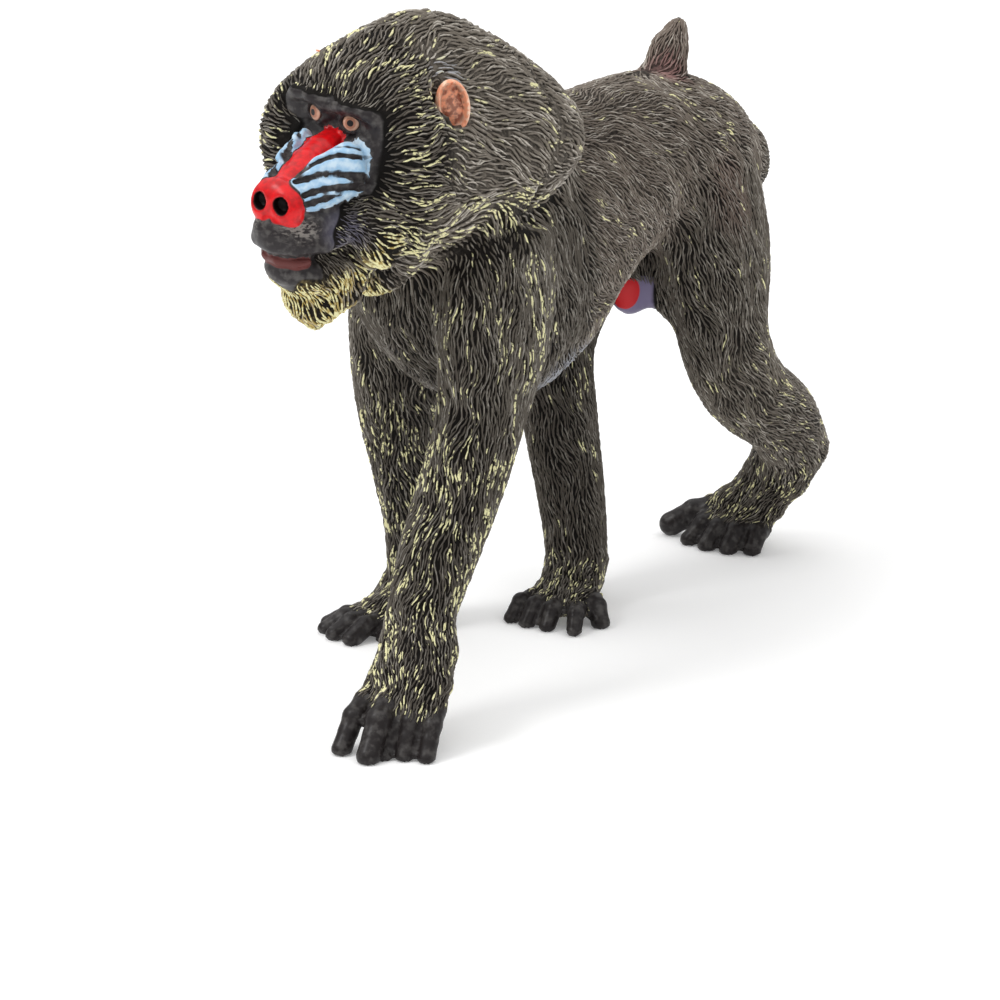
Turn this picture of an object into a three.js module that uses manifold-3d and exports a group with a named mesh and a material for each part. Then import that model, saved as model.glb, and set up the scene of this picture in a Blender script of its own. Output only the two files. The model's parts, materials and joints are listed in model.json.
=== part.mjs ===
// A walking mandrill as a solid moulded plastic figure, about a tenth of life size.
// Millimetres, +Z up. The figure faces -Y, and +X is its left side.
import * as THREE from 'three';
import { mergeVertices } from 'three/addons/utils/BufferGeometryUtils.js';
import Module from 'manifold-3d';

const wasm = await Module();
wasm.setup();

// Driving dimensions of the whole figure
const gap = 0.3;               // clearance where one piece is parted from the next
const fingerSides = 6;
const padSink = 0.55;          // how far a finger or toe pad is pressed flat by the floor
const limbSides = 10;
const trunkSides = 16;
const hoodSides = 18;

// Heights along the back
const crestHeight = 77.6;
const withersHeight = 63.4;
const loinHeight = 63.6;
const rumpHeight = 58.2;

// Head
const eyeApart = 5.8;          // between the centres of the eyes
const eyeHeight = 67.6;
const eyeForward = -33.9;      // y of the eyeball centres
const eyeRadius = 1.35;
const noseTip = [0, -44.2, 60.5];
const noseHalfWidth = 2.75;
const beardTipHeight = 45.6;
const earCentre = [8.7, -25.0, 68.9];
const earHeight = 6.0;
const earLength = 4.4;
const earThickness = 2.1;
const hoodHalfWidth = 12.4;
const partingY = -28.2;        // the seam between the fan round the face and the nape mane
const partingHeight = 67;
const partingLean = 0.25;      // the seam leans back as it climbs

// Materials, one for each painted finish
function paint(colour, roughness) {
  return new THREE.MeshStandardMaterial({ color: colour, roughness, metalness: 0 });
}
const finishes = {
  coat: () => paint('#3b3733', 0.75),
  mane: () => paint('#45413a', 0.75),
  beard: () => paint('#a8923c', 0.75),
  face: () => paint('#241f24', 0.55),
  blueCheek: () => paint('#9cc3e6', 0.45),
  redNose: () => paint('#b3161d', 0.4),
  ear: () => paint('#c8744f', 0.55),
  eye: () => paint('#d99a77', 0.3),
  bareSkin: () => paint('#8d83a8', 0.5),
};

// Solids: a closed three.js geometry becomes a body that can be joined and cut
function solid(geometry) {
  const bare = geometry.clone();
  bare.deleteAttribute('normal');
  bare.deleteAttribute('uv');
  const welded = mergeVertices(bare, 1e-4);
  return new wasm.Manifold(new wasm.Mesh({
    numProp: 3,
    vertProperties: new Float32Array(welded.attributes.position.array),
    triVerts: new Uint32Array(welded.index.array),
  }));
}

function join(...bodies) {
  return bodies.reduce((whole, body) => whole.add(body));
}

function cut(body, ...tools) {
  return tools.reduce((rest, tool) => rest.subtract(tool), body);
}

// A Catmull-Rom value list: the same smooth interpolation for sizes as for places
function smoothList(values) {
  const track = new THREE.CatmullRomCurve3(values.map((value) => new THREE.Vector3(value, 0, 0)));
  return (t) => track.getPoint(t).x;
}

// An ellipsoid with its own size, place and turn
function blob(centre, halfSizes, { turn = [0, 0, 0], sides = 12, rows = 8, grow = 0 } = {}) {
  const ball = new THREE.SphereGeometry(1, sides, rows);
  ball.rotateX(Math.PI / 2);
  ball.scale(...halfSizes.map((size) => size + grow));
  ball.applyMatrix4(new THREE.Matrix4().makeRotationFromEuler(new THREE.Euler(...turn)));
  ball.translate(...centre);
  return solid(ball);
}

// A rounded body along a curve. The rings of a capped cylinder are set square to the
// curve: width runs along the across direction, depth at right angles to it.
function shaft(stations, { sides = limbSides, steps = 10, from = 0, to = 1, grow = 0,
  across = [1, 0, 0], endGap = [0, 0] } = {}) {
  const path = new THREE.CatmullRomCurve3(stations.map((s) => new THREE.Vector3(...s.at)));
  const width = smoothList(stations.map((s) => s.width));
  const depth = smoothList(stations.map((s) => s.depth));
  const tube = new THREE.CylinderGeometry(1, 1, 1, sides, steps, false);
  const place = tube.attributes.position;
  for (let i = 0; i < place.count; i += 1) {
    const along = 0.5 - place.getY(i);
    const t = from + (to - from) * along;
    const centre = path.getPoint(t);
    const forward = path.getTangent(t);
    const side = new THREE.Vector3(...across);
    side.addScaledVector(forward, -side.dot(forward)).normalize();
    const rise = new THREE.Vector3().crossVectors(forward, side);
    if (along < 1e-6) centre.addScaledVector(forward, endGap[0] - grow);
    if (along > 1 - 1e-6) centre.addScaledVector(forward, grow - endGap[1]);
    centre.addScaledVector(side, place.getX(i) * (width(t) + grow));
    centre.addScaledVector(rise, place.getZ(i) * (depth(t) + grow));
    place.setXYZ(i, centre.x, centre.y, centre.z);
  }
  return solid(tube);
}

// A body of upright rings from head to tail. Each ring has a top, a bottom and a half
// width, may lean back, may come to a ridge on top, and is widest at its belt.
function hull(rings, { sides = trunkSides, steps = 16, from = 0, to = 1, grow = 0 } = {}) {
  const usual = { lean: 0, ridge: 0, belt: 0.45 };
  const read = (key) => smoothList(rings.map((ring) => ring[key] ?? usual[key]));
  const [y, top, bottom, half, lean, ridge, belt] =
    ['y', 'top', 'bottom', 'half', 'lean', 'ridge', 'belt'].map(read);
  const tube = new THREE.CylinderGeometry(1, 1, 1, sides, steps, false);
  const place = tube.attributes.position;
  for (let i = 0; i < place.count; i += 1) {
    const along = 0.5 - place.getY(i);
    const t = from + (to - from) * along;
    const across = place.getX(i);
    const up = place.getZ(i);
    const middle = bottom(t) + (top(t) - bottom(t)) * belt(t);
    const reach = (up > 0 ? top(t) - middle : middle - bottom(t)) + grow;
    const narrowing = up > 0 ? 1 - ridge(t) * up * up : 1;
    const z = middle + up * reach;
    const endShift = along < 1e-6 ? -grow : along > 1 - 1e-6 ? grow : 0;
    place.setXYZ(i, -across * (half(t) + grow) * narrowing,
      y(t) + endShift + lean(t) * (z - middle), z);
  }
  return solid(tube);
}

// Everything below the floor is cut away, which leaves small flats under hands and feet
const floorSize = 200;
const floorDepth = 40;

function floorBlock() {
  const block = new THREE.BoxGeometry(floorSize, floorSize, floorDepth);
  block.translate(0, 0, -floorDepth / 2);
  return solid(block);
}
const floor = floorBlock();

// Trunk: chest, belly and rump are three lengths of one hull
const trunkRings = [
  { y: -25.0, top: 54.0, bottom: 43.0, half: 4.5, ridge: 0.1 },
  { y: -21.0, top: 58.0, bottom: 37.0, half: 9.0, ridge: 0.1 },
  { y: -13.0, top: 62.0, bottom: 31.0, half: 10.6, ridge: 0.15 },
  { y: -4.0, top: 64.0, bottom: 28.8, half: 11.0, ridge: 0.2 },
  { y: 4.0, top: 63.8, bottom: 30.4, half: 10.6, ridge: 0.2 },
  { y: 12.0, top: withersHeight, bottom: 37.0, half: 9.8, ridge: 0.15 },
  { y: 20.0, top: loinHeight, bottom: 41.5, half: 9.6, ridge: 0.12 },
  { y: 28.0, top: 63.2, bottom: 42.0, half: 10.0, ridge: 0.1 },
  { y: 36.0, top: 61.2, bottom: 42.0, half: 9.8, ridge: 0.1 },
  { y: 42.0, top: rumpHeight, bottom: 43.0, half: 7.6, ridge: 0.1 },
  { y: 45.0, top: 54.0, bottom: 46.0, half: 4.0, ridge: 0.1 },
];
const trunkSpan = 70;          // from the breast to the rump
const partingShare = gap / trunkSpan;
const chestEnd = 0.36;         // share of the span where the chest gives way to the belly
const loinStart = 0.62;        // share of the span where the belly gives way to the rump

function trunkPiece(from, to, steps) {
  return hull(trunkRings, { from, to, steps });
}

// Mane: a hood with a peaked crest, from the fan round the face back to the withers
const hoodRings = [
  { y: -35.0, top: 71.6, bottom: 54.0, half: 9.4, ridge: 0.05, belt: 0.6 },
  { y: -32.8, top: 74.0, bottom: 51.6, half: 11.8, ridge: 0.2, belt: 0.58 },
  { y: -29.0, top: 76.2, bottom: 49.4, half: hoodHalfWidth, ridge: 0.45, belt: 0.53 },
  { y: -22.5, top: crestHeight, bottom: 48.4, half: 11.6, ridge: 0.55, lean: 0.1 },
  { y: -16.5, top: 76.0, bottom: 48.4, half: 11.6, ridge: 0.55, lean: 0.2 },
  { y: -10.0, top: 72.4, bottom: 49.4, half: 11.6, ridge: 0.42, lean: 0.35 },
  { y: -4.5, top: 68.6, bottom: 51.4, half: 11.0, ridge: 0.3, lean: 0.55 },
  { y: 0.0, top: 65.2, bottom: 53.6, half: 9.4, ridge: 0.2, lean: 0.75 },
];

function hoodWhole(grow = 0) {
  return hull(hoodRings, { sides: hoodSides, steps: 10, grow });
}

// Face parts, each made by a function so that a grown copy can cut its neighbour
function faceBed(grow = 0) {
  return blob([0, -31.7, 61.2], [8.3, 4.7, 11.4], { sides: 12, rows: 7, grow });
}

function brow(grow = 0) {
  return shaft([
    { at: [-6.6, -33.0, 67.8], width: 1.0, depth: 0.9 },
    { at: [-4.2, -34.9, 69.7], width: 1.4, depth: 1.2 },
    { at: [0, -35.8, 69.7], width: 1.4, depth: 1.2 },
    { at: [4.2, -34.9, 69.7], width: 1.4, depth: 1.2 },
    { at: [6.6, -33.0, 67.8], width: 1.0, depth: 0.9 },
  ], { across: [0, 1, 0], sides: 6, steps: 4, grow });
}

function eye(side, grow = 0) {
  return blob([side * eyeApart / 2, eyeForward, eyeHeight],
    [eyeRadius, eyeRadius, eyeRadius], { sides: 8, rows: 5, grow });
}

function snout(grow = 0) {
  const ridge = shaft([
    { at: [0, -34.2, 66.6], width: 1.5, depth: 1.3 },
    { at: [0, -37.6, 65.2], width: 1.7, depth: 1.6 },
    { at: [0, -41.4, 62.4], width: 2.0, depth: 1.8 },
    { at: [0, -43.4, 60.8], width: 2.0, depth: 1.8 },
  ], { sides: 7, steps: 4, grow });
  const lip = shaft([
    { at: [0, -33.6, 57.4], width: 5.2, depth: 3.4 },
    { at: [0, -38.0, 57.6], width: 5.0, depth: 3.5 },
    { at: [0, -42.4, 57.4], width: 4.2, depth: 3.2 },
    { at: [0, -45.6, 57.0], width: 2.6, depth: 2.0 },
    { at: [0, -46.4, 56.9], width: 1.0, depth: 0.9 },
  ], { sides: 8, steps: 5, grow });
  return join(ridge, lip);
}

function cheekSwelling(side, grow = 0) {
  return shaft([
    { at: [side * 4.6, -35.4, 64.2], width: 0.9, depth: 1.6 },
    { at: [side * 4.2, -36.8, 63.8], width: 1.9, depth: 2.9 },
    { at: [side * 3.4, -39.0, 62.6], width: 1.9, depth: 2.6 },
    { at: [side * 2.5, -41.6, 61.2], width: 1.4, depth: 2.0 },
    { at: [side * 2.0, -43.0, 60.4], width: 0.6, depth: 1.0 },
  ], { sides: 9, steps: 5, grow });
}

function nose(grow = 0) {
  const bulb = blob(noseTip, [noseHalfWidth, 2.3, 2.45], { sides: 10, rows: 6, grow });
  const wing = (side) => blob([side * 1.5, -44.6, 60.3], [1.5, 1.7, 1.7],
    { sides: 7, rows: 5, grow });
  return join(bulb, wing(-1), wing(1));
}

function nostril(side) {
  return shaft([
    { at: [side * 1.35, -43.6, 60.9], width: 0.45, depth: 0.45 },
    { at: [side * 1.4, -47.6, 60.2], width: 0.95, depth: 0.95 },
  ], { sides: 6, steps: 1 });
}

function jaw(grow = 0) {
  return shaft([
    { at: [0, -33.8, 51.6], width: 4.4, depth: 2.6 },
    { at: [0, -38.4, 51.8], width: 4.3, depth: 2.8 },
    { at: [0, -41.8, 52.3], width: 3.6, depth: 2.4 },
    { at: [0, -44.0, 52.9], width: 2.2, depth: 1.4 },
    { at: [0, -44.6, 53.0], width: 1.0, depth: 0.6 },
  ], { sides: 9, steps: 4, grow });
}

function beard(grow = 0) {
  return shaft([
    { at: [0, -34.2, 51.6], width: 6.4, depth: 3.2 },
    { at: [0, -36.4, 50.2], width: 5.6, depth: 4.2 },
    { at: [0, -38.0, 48.2], width: 3.6, depth: 3.0 },
    { at: [0, -38.4, beardTipHeight + 0.4], width: 0.9, depth: 0.9 },
  ], { sides: 9, steps: 5, grow });
}

function ear(side, grow = 0) {
  const disc = new THREE.SphereGeometry(1, 10, 6);
  disc.scale(earThickness / 2 + grow, earLength / 2 + grow, earHeight / 2 + grow);
  disc.rotateX(0.15);
  disc.rotateZ(side * -0.35);
  disc.translate(side * earCentre[0], earCentre[1], earCentre[2]);
  return solid(disc);
}

// Limbs: stations run from the trunk to the wrist or ankle
const forelimb = {
  left: [
    { at: [7.2, -13.5, 53.0], width: 5.0, depth: 8.6 },
    { at: [8.8, -17.0, 43.0], width: 5.2, depth: 9.2 },
    { at: [9.6, -20.8, 33.0], width: 4.5, depth: 6.6 },
    { at: [9.6, -25.0, 25.2], width: 4.8, depth: 5.4 },
    { at: [9.4, -28.8, 19.0], width: 4.6, depth: 4.9 },
    { at: [9.4, -32.2, 12.6], width: 4.1, depth: 3.8 },
  ],
  right: [
    { at: [-7.2, -11.4, 51.0], width: 4.8, depth: 7.6 },
    { at: [-8.6, -12.0, 41.0], width: 4.8, depth: 7.0 },
    { at: [-9.8, -11.0, 31.0], width: 4.4, depth: 5.6 },
    { at: [-10.4, -8.0, 22.0], width: 4.3, depth: 5.0 },
    { at: [-10.8, -5.6, 13.0], width: 3.9, depth: 4.2 },
    { at: [-11.2, -5.2, 6.5], width: 3.6, depth: 3.6 },
  ],
};
const hindlimb = {
  left: [
    { at: [5.6, 31.0, 51.0], width: 5.2, depth: 9.4 },
    { at: [7.8, 30.4, 41.0], width: 5.6, depth: 9.8 },
    { at: [10.0, 28.8, 31.5], width: 5.4, depth: 6.8 },
    { at: [11.0, 32.0, 24.4], width: 5.3, depth: 5.8 },
    { at: [11.8, 38.8, 19.4], width: 5.1, depth: 5.3 },
    { at: [11.2, 43.8, 14.4], width: 4.7, depth: 4.7 },
  ],
  right: [
    { at: [-5.6, 30.0, 50.0], width: 5.2, depth: 8.4 },
    { at: [-7.4, 24.0, 40.0], width: 5.4, depth: 8.0 },
    { at: [-7.4, 18.0, 30.0], width: 5.0, depth: 6.2 },
    { at: [-5.2, 16.4, 21.0], width: 4.6, depth: 5.4 },
    { at: [-3.0, 15.6, 12.0], width: 4.2, depth: 4.8 },
    { at: [-1.2, 14.2, 5.4], width: 3.9, depth: 4.4 },
  ],
};
const upperShare = 0.42;       // share of a limb's stations down to the elbow or knee

function limbUpper(stations, grow = 0) {
  const halfGap = grow ? 0 : gap / 2;
  return shaft(stations, { to: upperShare, steps: 5, grow, endGap: [0, halfGap] });
}

function limbLower(stations, grow = 0) {
  const halfGap = grow ? 0 : gap / 2;
  return shaft(stations, { from: upperShare, steps: 7, grow, endGap: [halfGap, halfGap] });
}

// A finger or toe: from inside the palm, over a raised joint, to a pad pressed on the floor
function digit({ from, to, radius, arch, lift = 0 }) {
  const { lerp } = THREE.MathUtils;
  const padHeight = radius * 0.95 - padSink + lift;
  const station = (share, height, size) => ({
    at: [lerp(from[0], to[0], share), lerp(from[1], to[1], share), height],
    width: radius * size,
    depth: radius * size,
  });
  return shaft([
    station(-0.45, lerp(from[2], padHeight, -0.45), 0.8),
    station(0.4, lerp(from[2], padHeight, 0.4) + arch, 1.05),
    station(0.84, padHeight, 0.95),
    station(1, padHeight - 0.3 * radius, 0.45),
  ], { sides: fingerSides, steps: 3 });
}

// A hand or foot: a palm along its own path with digits at its end, cut where it meets
// the limb, and cut flat by the floor
function extremity({ palm, digits }, limb) {
  const body = shaft(palm, { sides: 9, steps: 4 });
  return cut(join(body, ...digits.map(digit)), limbLower(limb, gap), floor);
}

const hands = {
  left: {
    palm: [
      { at: [9.4, -32.2, 12.6], width: 4.1, depth: 3.8 },
      { at: [10.8, -34.4, 10.0], width: 5.0, depth: 3.4 },
      { at: [11.7, -36.8, 7.4], width: 5.6, depth: 2.9 },
      { at: [11.9, -39.2, 5.2], width: 5.2, depth: 1.8 },
    ],
    digits: [
      { from: [7.6, -38.6, 5.2], to: [7.6, -44.6], radius: 1.35, arch: 0.9 },
      { from: [10.2, -39.4, 5.2], to: [11.6, -45.8], radius: 1.4, arch: 1.1 },
      { from: [12.6, -39.0, 5.2], to: [14.2, -43.6], radius: 1.35, arch: 1.1 },
      { from: [14.6, -37.8, 5.0], to: [16.2, -42.0], radius: 1.25, arch: 0.9 },
      { from: [8.0, -35.4, 5.2], to: [11.6, -40.6], radius: 1.1, arch: 0.2 },
    ],
  },
  right: {
    palm: [
      { at: [-11.2, -5.2, 6.5], width: 3.6, depth: 3.6 },
      { at: [-11.8, -6.4, 3.8], width: 3.8, depth: 3.0 },
      { at: [-12.8, -9.0, 2.2], width: 3.9, depth: 2.1 },
      { at: [-13.8, -11.0, 1.5], width: 3.6, depth: 1.5 },
    ],
    digits: [
      { from: [-15.6, -9.0, 1.4], to: [-19.4, -12.2], radius: 1.0, arch: 0.3 },
      { from: [-15.2, -10.4, 1.5], to: [-18.2, -14.2], radius: 1.1, arch: 0.4 },
      { from: [-14.0, -11.2, 1.5], to: [-16.0, -15.4], radius: 1.15, arch: 0.4 },
      { from: [-12.4, -11.0, 1.5], to: [-13.2, -15.8], radius: 1.15, arch: 0.4 },
      { from: [-10.6, -8.6, 1.4], to: [-10.4, -13.0], radius: 1.1, arch: 0.2 },
    ],
  },
};
const feet = {
  left: {
    palm: [
      { at: [11.2, 43.8, 14.4], width: 4.7, depth: 4.7 },
      { at: [8.2, 45.0, 9.4], width: 4.7, depth: 3.5 },
      { at: [4.9, 43.9, 5.2], width: 5.4, depth: 2.8 },
      { at: [3.4, 42.0, 2.6], width: 5.8, depth: 2.0 },
    ],
    digits: [
      { from: [0.2, 43.8, 4.0], to: [-5.6, 41.0], radius: 1.6, arch: 0.4, lift: 0.5 },
      { from: [1.6, 42.2, 2.4], to: [-0.8, 39.4], radius: 1.25, arch: 0.6 },
      { from: [3.4, 41.8, 2.2], to: [2.0, 38.7], radius: 1.25, arch: 0.7 },
      { from: [5.4, 42.0, 2.2], to: [4.9, 39.0], radius: 1.25, arch: 0.7 },
      { from: [7.4, 42.8, 2.2], to: [7.4, 40.4], radius: 1.25, arch: 0.7 },
    ],
  },
  right: {
    palm: [
      { at: [-1.2, 14.2, 5.4], width: 3.9, depth: 4.4 },
      { at: [-0.2, 12.0, 3.4], width: 3.9, depth: 3.6 },
      { at: [1.4, 8.0, 2.6], width: 4.6, depth: 2.3 },
      { at: [2.2, 4.8, 1.8], width: 4.6, depth: 1.6 },
    ],
    digits: [
      { from: [-1.6, 5.2, 1.9], to: [-2.2, 2.4], radius: 1.15, arch: 0.8 },
      { from: [0.6, 4.6, 2.0], to: [0.6, 1.8], radius: 1.15, arch: 0.8 },
      { from: [2.8, 4.6, 2.0], to: [3.2, 1.8], radius: 1.15, arch: 0.8 },
      { from: [4.8, 5.2, 2.0], to: [6.6, 1.8], radius: 1.1, arch: 0.8 },
      { from: [4.8, 8.6, 2.2], to: [7.6, 6.4], radius: 1.3, arch: 0.6 },
    ],
  },
};

// Tail, bare patches of the rear, and the groin
function tail(grow = 0) {
  return shaft([
    { at: [0, 29.4, 58.6], width: 3.8, depth: 3.8 },
    { at: [0, 30.2, 61.2], width: 3.3, depth: 3.3 },
    { at: [0, 31.4, 64.2], width: 2.7, depth: 2.9 },
    { at: [0, 32.9, 67.0], width: 1.9, depth: 2.2 },
    { at: [0, 33.4, 68.2], width: 0.9, depth: 1.0 },
  ], { sides: 10, steps: 5, grow });
}

function rumpPad(side, grow = 0) {
  return blob([side * 4.8, 42.6, 50.0], [3.6, 2.6, 4.6],
    { turn: [0, 0, side * -0.45], sides: 8, rows: 6, grow });
}

function groin(grow = 0) {
  return blob([1.0, 20.6, 38.6], [2.6, 3.4, 3.4], { sides: 8, rows: 6, grow });
}

// The parting of the pieces: each neighbour is cut by a grown copy of what meets it
const bothSides = [-1, 1];
const eyeTools = bothSides.map((side) => eye(side, gap));
const swellingTools = bothSides.map((side) => cheekSwelling(side, gap));
const earTools = bothSides.map((side) => ear(side, gap));
const noseTool = nose(gap);
const snoutTool = snout(gap);
const jawTool = jaw(gap);
const beardTool = beard(gap);

const noseBody = cut(nose(), ...bothSides.map(nostril));
const snoutBody = cut(snout(), noseTool, ...swellingTools);
const swellingBodies = bothSides.map((side) => cut(cheekSwelling(side), noseTool, ...eyeTools));
const jawBody = cut(jaw(), snoutTool);
const beardBody = cut(beard(), jawTool, snoutTool);
const faceBody = cut(join(faceBed(), brow()), snoutTool, jawTool, beardTool, ...swellingTools,
  ...eyeTools);
const hood = cut(hoodWhole(), faceBed(gap), brow(gap), beardTool, ...earTools);

// A block ahead of or behind the parting, larger than the hood, whose face leans with it
const partingSize = 100;

function partingBlock(direction) {
  const block = new THREE.BoxGeometry(partingSize, partingSize, partingSize);
  block.translate(0, direction * (partingSize / 2 + gap / 2), 0);
  block.rotateX(-Math.atan(partingLean));
  block.translate(0, partingY, partingHeight);
  return solid(block);
}
const fanBody = hood.intersect(partingBlock(-1));
const napeBody = hood.intersect(partingBlock(1));

const hoodTool = hoodWhole(gap);
const foreTools = ['left', 'right'].map((side) => limbUpper(forelimb[side], gap));
const hindTools = ['left', 'right'].map((side) => limbUpper(hindlimb[side], gap));
const tailTool = tail(gap);
const padTools = bothSides.map((side) => rumpPad(side, gap));
const groinTool = groin(gap);

const chestBody = cut(trunkPiece(0, chestEnd - partingShare, 5), hoodTool, ...foreTools);
const bellyBody = cut(trunkPiece(chestEnd, loinStart - partingShare, 4), hoodTool, ...foreTools,
  ...hindTools, groinTool);
const rumpBody = cut(trunkPiece(loinStart, 1, 6), ...hindTools, tailTool, ...padTools,
  groinTool);

const group = new THREE.Group();

function addNode(name, body, finish) {
  const data = body.getMesh();
  const geometry = new THREE.BufferGeometry();
  geometry.setAttribute('position', new THREE.BufferAttribute(data.vertProperties, 3));
  geometry.setIndex(new THREE.BufferAttribute(data.triVerts, 1));
  geometry.computeVertexNormals();
  const mesh = new THREE.Mesh(geometry, finishes[finish]());
  mesh.name = name;
  group.add(mesh);
}

const sides = ['right', 'left'];
addNode('face', faceBody, 'face');
addNode('snout', snoutBody, 'face');
addNode('nose', noseBody, 'redNose');
sides.forEach((side, i) => addNode(`cheek_${side}`, swellingBodies[i], 'blueCheek'));
sides.forEach((side, i) => addNode(`eye_${side}`, eye(bothSides[i]), 'eye'));
sides.forEach((side, i) => addNode(`ear_${side}`, ear(bothSides[i]), 'ear'));
addNode('jaw', jawBody, 'face');
addNode('beard', beardBody, 'beard');
addNode('mane_fan', fanBody, 'mane');
addNode('mane_nape', napeBody, 'mane');
addNode('chest', chestBody, 'coat');
addNode('belly', bellyBody, 'coat');
addNode('rump', rumpBody, 'coat');
addNode('tail', tail(), 'coat');
sides.forEach((side, i) => {
  addNode(`rump_pad_${side}`, cut(rumpPad(bothSides[i]), ...hindTools), 'bareSkin');
});
addNode('groin', cut(groin(), ...hindTools), 'bareSkin');
sides.forEach((side) => {
  addNode(`upper_arm_${side}`, cut(limbUpper(forelimb[side]), hoodTool), 'coat');
  addNode(`forearm_${side}`, limbLower(forelimb[side]), 'coat');
  addNode(`hand_${side}`, extremity(hands[side], forelimb[side]), 'coat');
  addNode(`thigh_${side}`, limbUpper(hindlimb[side]), 'coat');
  addNode(`shank_${side}`, limbLower(hindlimb[side]), 'coat');
  addNode(`foot_${side}`, extremity(feet[side], hindlimb[side]), 'coat');
});

// The origin is the middle of the figure's box, on the floor
const box = new THREE.Box3().setFromObject(group);
const middle = box.getCenter(new THREE.Vector3());
group.position.set(-middle.x, -middle.y, -box.min.z);

export default group;
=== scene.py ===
# %% [markdown]
# # A toy mandrill, moulded in one piece and painted by hand
#
# The figure is a palm-sized animal toy. Its fur is sculpted in low relief, the grooves are
# painted dark and the tops of the locks are brushed lighter, with a yellow-green on the crown,
# the ruff and the limbs. The lesson starts from the packed CAD solids, which hold every size.

# %% The packed frame
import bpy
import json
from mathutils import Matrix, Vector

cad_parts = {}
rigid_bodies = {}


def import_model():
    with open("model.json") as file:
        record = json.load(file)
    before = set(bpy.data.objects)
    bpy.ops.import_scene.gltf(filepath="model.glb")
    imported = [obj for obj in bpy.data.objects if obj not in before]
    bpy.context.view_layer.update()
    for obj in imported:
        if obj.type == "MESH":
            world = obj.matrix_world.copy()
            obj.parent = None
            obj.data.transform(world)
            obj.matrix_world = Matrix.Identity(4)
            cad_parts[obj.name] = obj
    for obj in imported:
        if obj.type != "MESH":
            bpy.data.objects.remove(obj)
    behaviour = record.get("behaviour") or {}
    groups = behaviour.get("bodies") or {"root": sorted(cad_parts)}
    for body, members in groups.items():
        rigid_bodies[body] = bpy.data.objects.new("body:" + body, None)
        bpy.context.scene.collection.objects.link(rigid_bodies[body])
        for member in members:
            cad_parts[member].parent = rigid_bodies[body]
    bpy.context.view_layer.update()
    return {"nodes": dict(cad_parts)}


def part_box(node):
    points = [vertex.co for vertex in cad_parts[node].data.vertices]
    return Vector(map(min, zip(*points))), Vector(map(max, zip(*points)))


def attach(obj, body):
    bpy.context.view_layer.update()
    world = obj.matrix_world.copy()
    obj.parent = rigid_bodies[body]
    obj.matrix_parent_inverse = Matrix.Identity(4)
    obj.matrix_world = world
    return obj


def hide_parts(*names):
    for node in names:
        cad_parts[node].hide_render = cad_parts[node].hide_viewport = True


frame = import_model()

# %% Tools and the figure's own zero
import json
import math

import bmesh
import bpy
import numpy as np
from mathutils import Matrix, Vector, noise
from mathutils.bvhtree import BVHTree

MM = 0.001
EYES_MM = np.array([0.0, -33.9, 67.6])    # the middle between the eyes, in the figure's millimetres


def box_middle(node):
    low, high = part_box(node)
    return np.array((low + high) / 2)


ZERO = (box_middle("eye_left") + box_middle("eye_right")) / 2 - EYES_MM * MM
nodes = frame["nodes"]


def place(x, y, z):
    """A point of the figure, in metres in the frame, from its millimetres."""
    return Vector(ZERO + np.array([x, y, z]) * MM)


def to_mm(points):
    return (points - ZERO) / MM


def to_frame(points):
    return points * MM + ZERO


print("figure's zero in the frame, mm:", (ZERO / MM).round(2), "CAD nodes:", len(nodes))

# %% [markdown]
# ## Small helpers
#
# Blender stores a mesh as flat lists. Reading and writing them whole, as arrays, is what keeps
# a mesh of a hundred thousand points quick to shape.

# %% Reading and writing meshes as arrays
def read_points(mesh):
    flat = np.empty(len(mesh.vertices) * 3, np.float32)
    mesh.vertices.foreach_get("co", flat)
    return flat.reshape(-1, 3).astype(float)


def write_points(mesh, points):
    mesh.vertices.foreach_set("co", points.astype(np.float32).ravel())
    mesh.update()


def read_normals(mesh):
    flat = np.empty(len(mesh.vertices) * 3, np.float32)
    mesh.vertex_normals.foreach_get("vector", flat)
    return flat.reshape(-1, 3).astype(float)


def read_edges(mesh):
    flat = np.empty(len(mesh.edges) * 2, np.int32)
    mesh.edges.foreach_get("vertices", flat)
    return flat.reshape(-1, 2)


def new_object(name, mesh):
    piece = bpy.data.objects.new(name, mesh)
    bpy.context.scene.collection.objects.link(piece)
    return piece


def pick(piece):
    """Makes one piece the only thing that an operator acts on."""
    for other in bpy.data.objects:
        other.select_set(False)
    piece.select_set(True)
    bpy.context.view_layer.objects.active = piece


def add_mask(mesh, name, values):
    layer = mesh.attributes.new(name, "FLOAT", "POINT")
    layer.data.foreach_set("value", values.astype(np.float32))


def shade_smooth(mesh):
    mesh.polygons.foreach_set("use_smooth", np.ones(len(mesh.polygons), bool))


def unit(vectors):
    return vectors / np.maximum(np.linalg.norm(vectors, axis=-1, keepdims=True), 1e-9)


def ease(low, high, values):
    """0 below low, 1 above high, and a smooth rise between; high may be the lower one."""
    t = np.clip((values - low) / (high - low), 0, 1)
    return t * t * (3 - 2 * t)


print("an ease from 0 to 1 has reached", ease(0, 1, 0.25), "at a quarter of the way")

# %% [markdown]
# ## The face as clay
#
# The face is the smooth, bare part that everyone looks at: two brow arches, a red nose with
# wide nostrils, and blue swellings cut by dark grooves. It could be sculpted by hand, but its
# forms are written as a formula here, so that each has a size and a place that can be changed.
# Lumps and bars each give a value that is negative inside and positive outside, and a soft
# minimum melts them together as clay would be.

# %% Clay tools
BAR_MELT = 0.3                # millimetres over which the stretches of a bar melt together


def lump(p, centre, radii):
    """A ball stretched to three radii."""
    radii = np.array(radii, float)
    return (np.linalg.norm((p - np.array(centre)) / radii, axis=1) - 1) * radii.min()


def merge(a, b, soft):
    """Two forms melted together where they are closer than soft."""
    near = np.maximum(soft - np.abs(a - b), 0) / soft
    return np.minimum(a, b) - near * near * soft / 4


def carve(a, tool, soft):
    """A form with the tool's shape cut out of it."""
    return -merge(-a, tool, soft)


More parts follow.
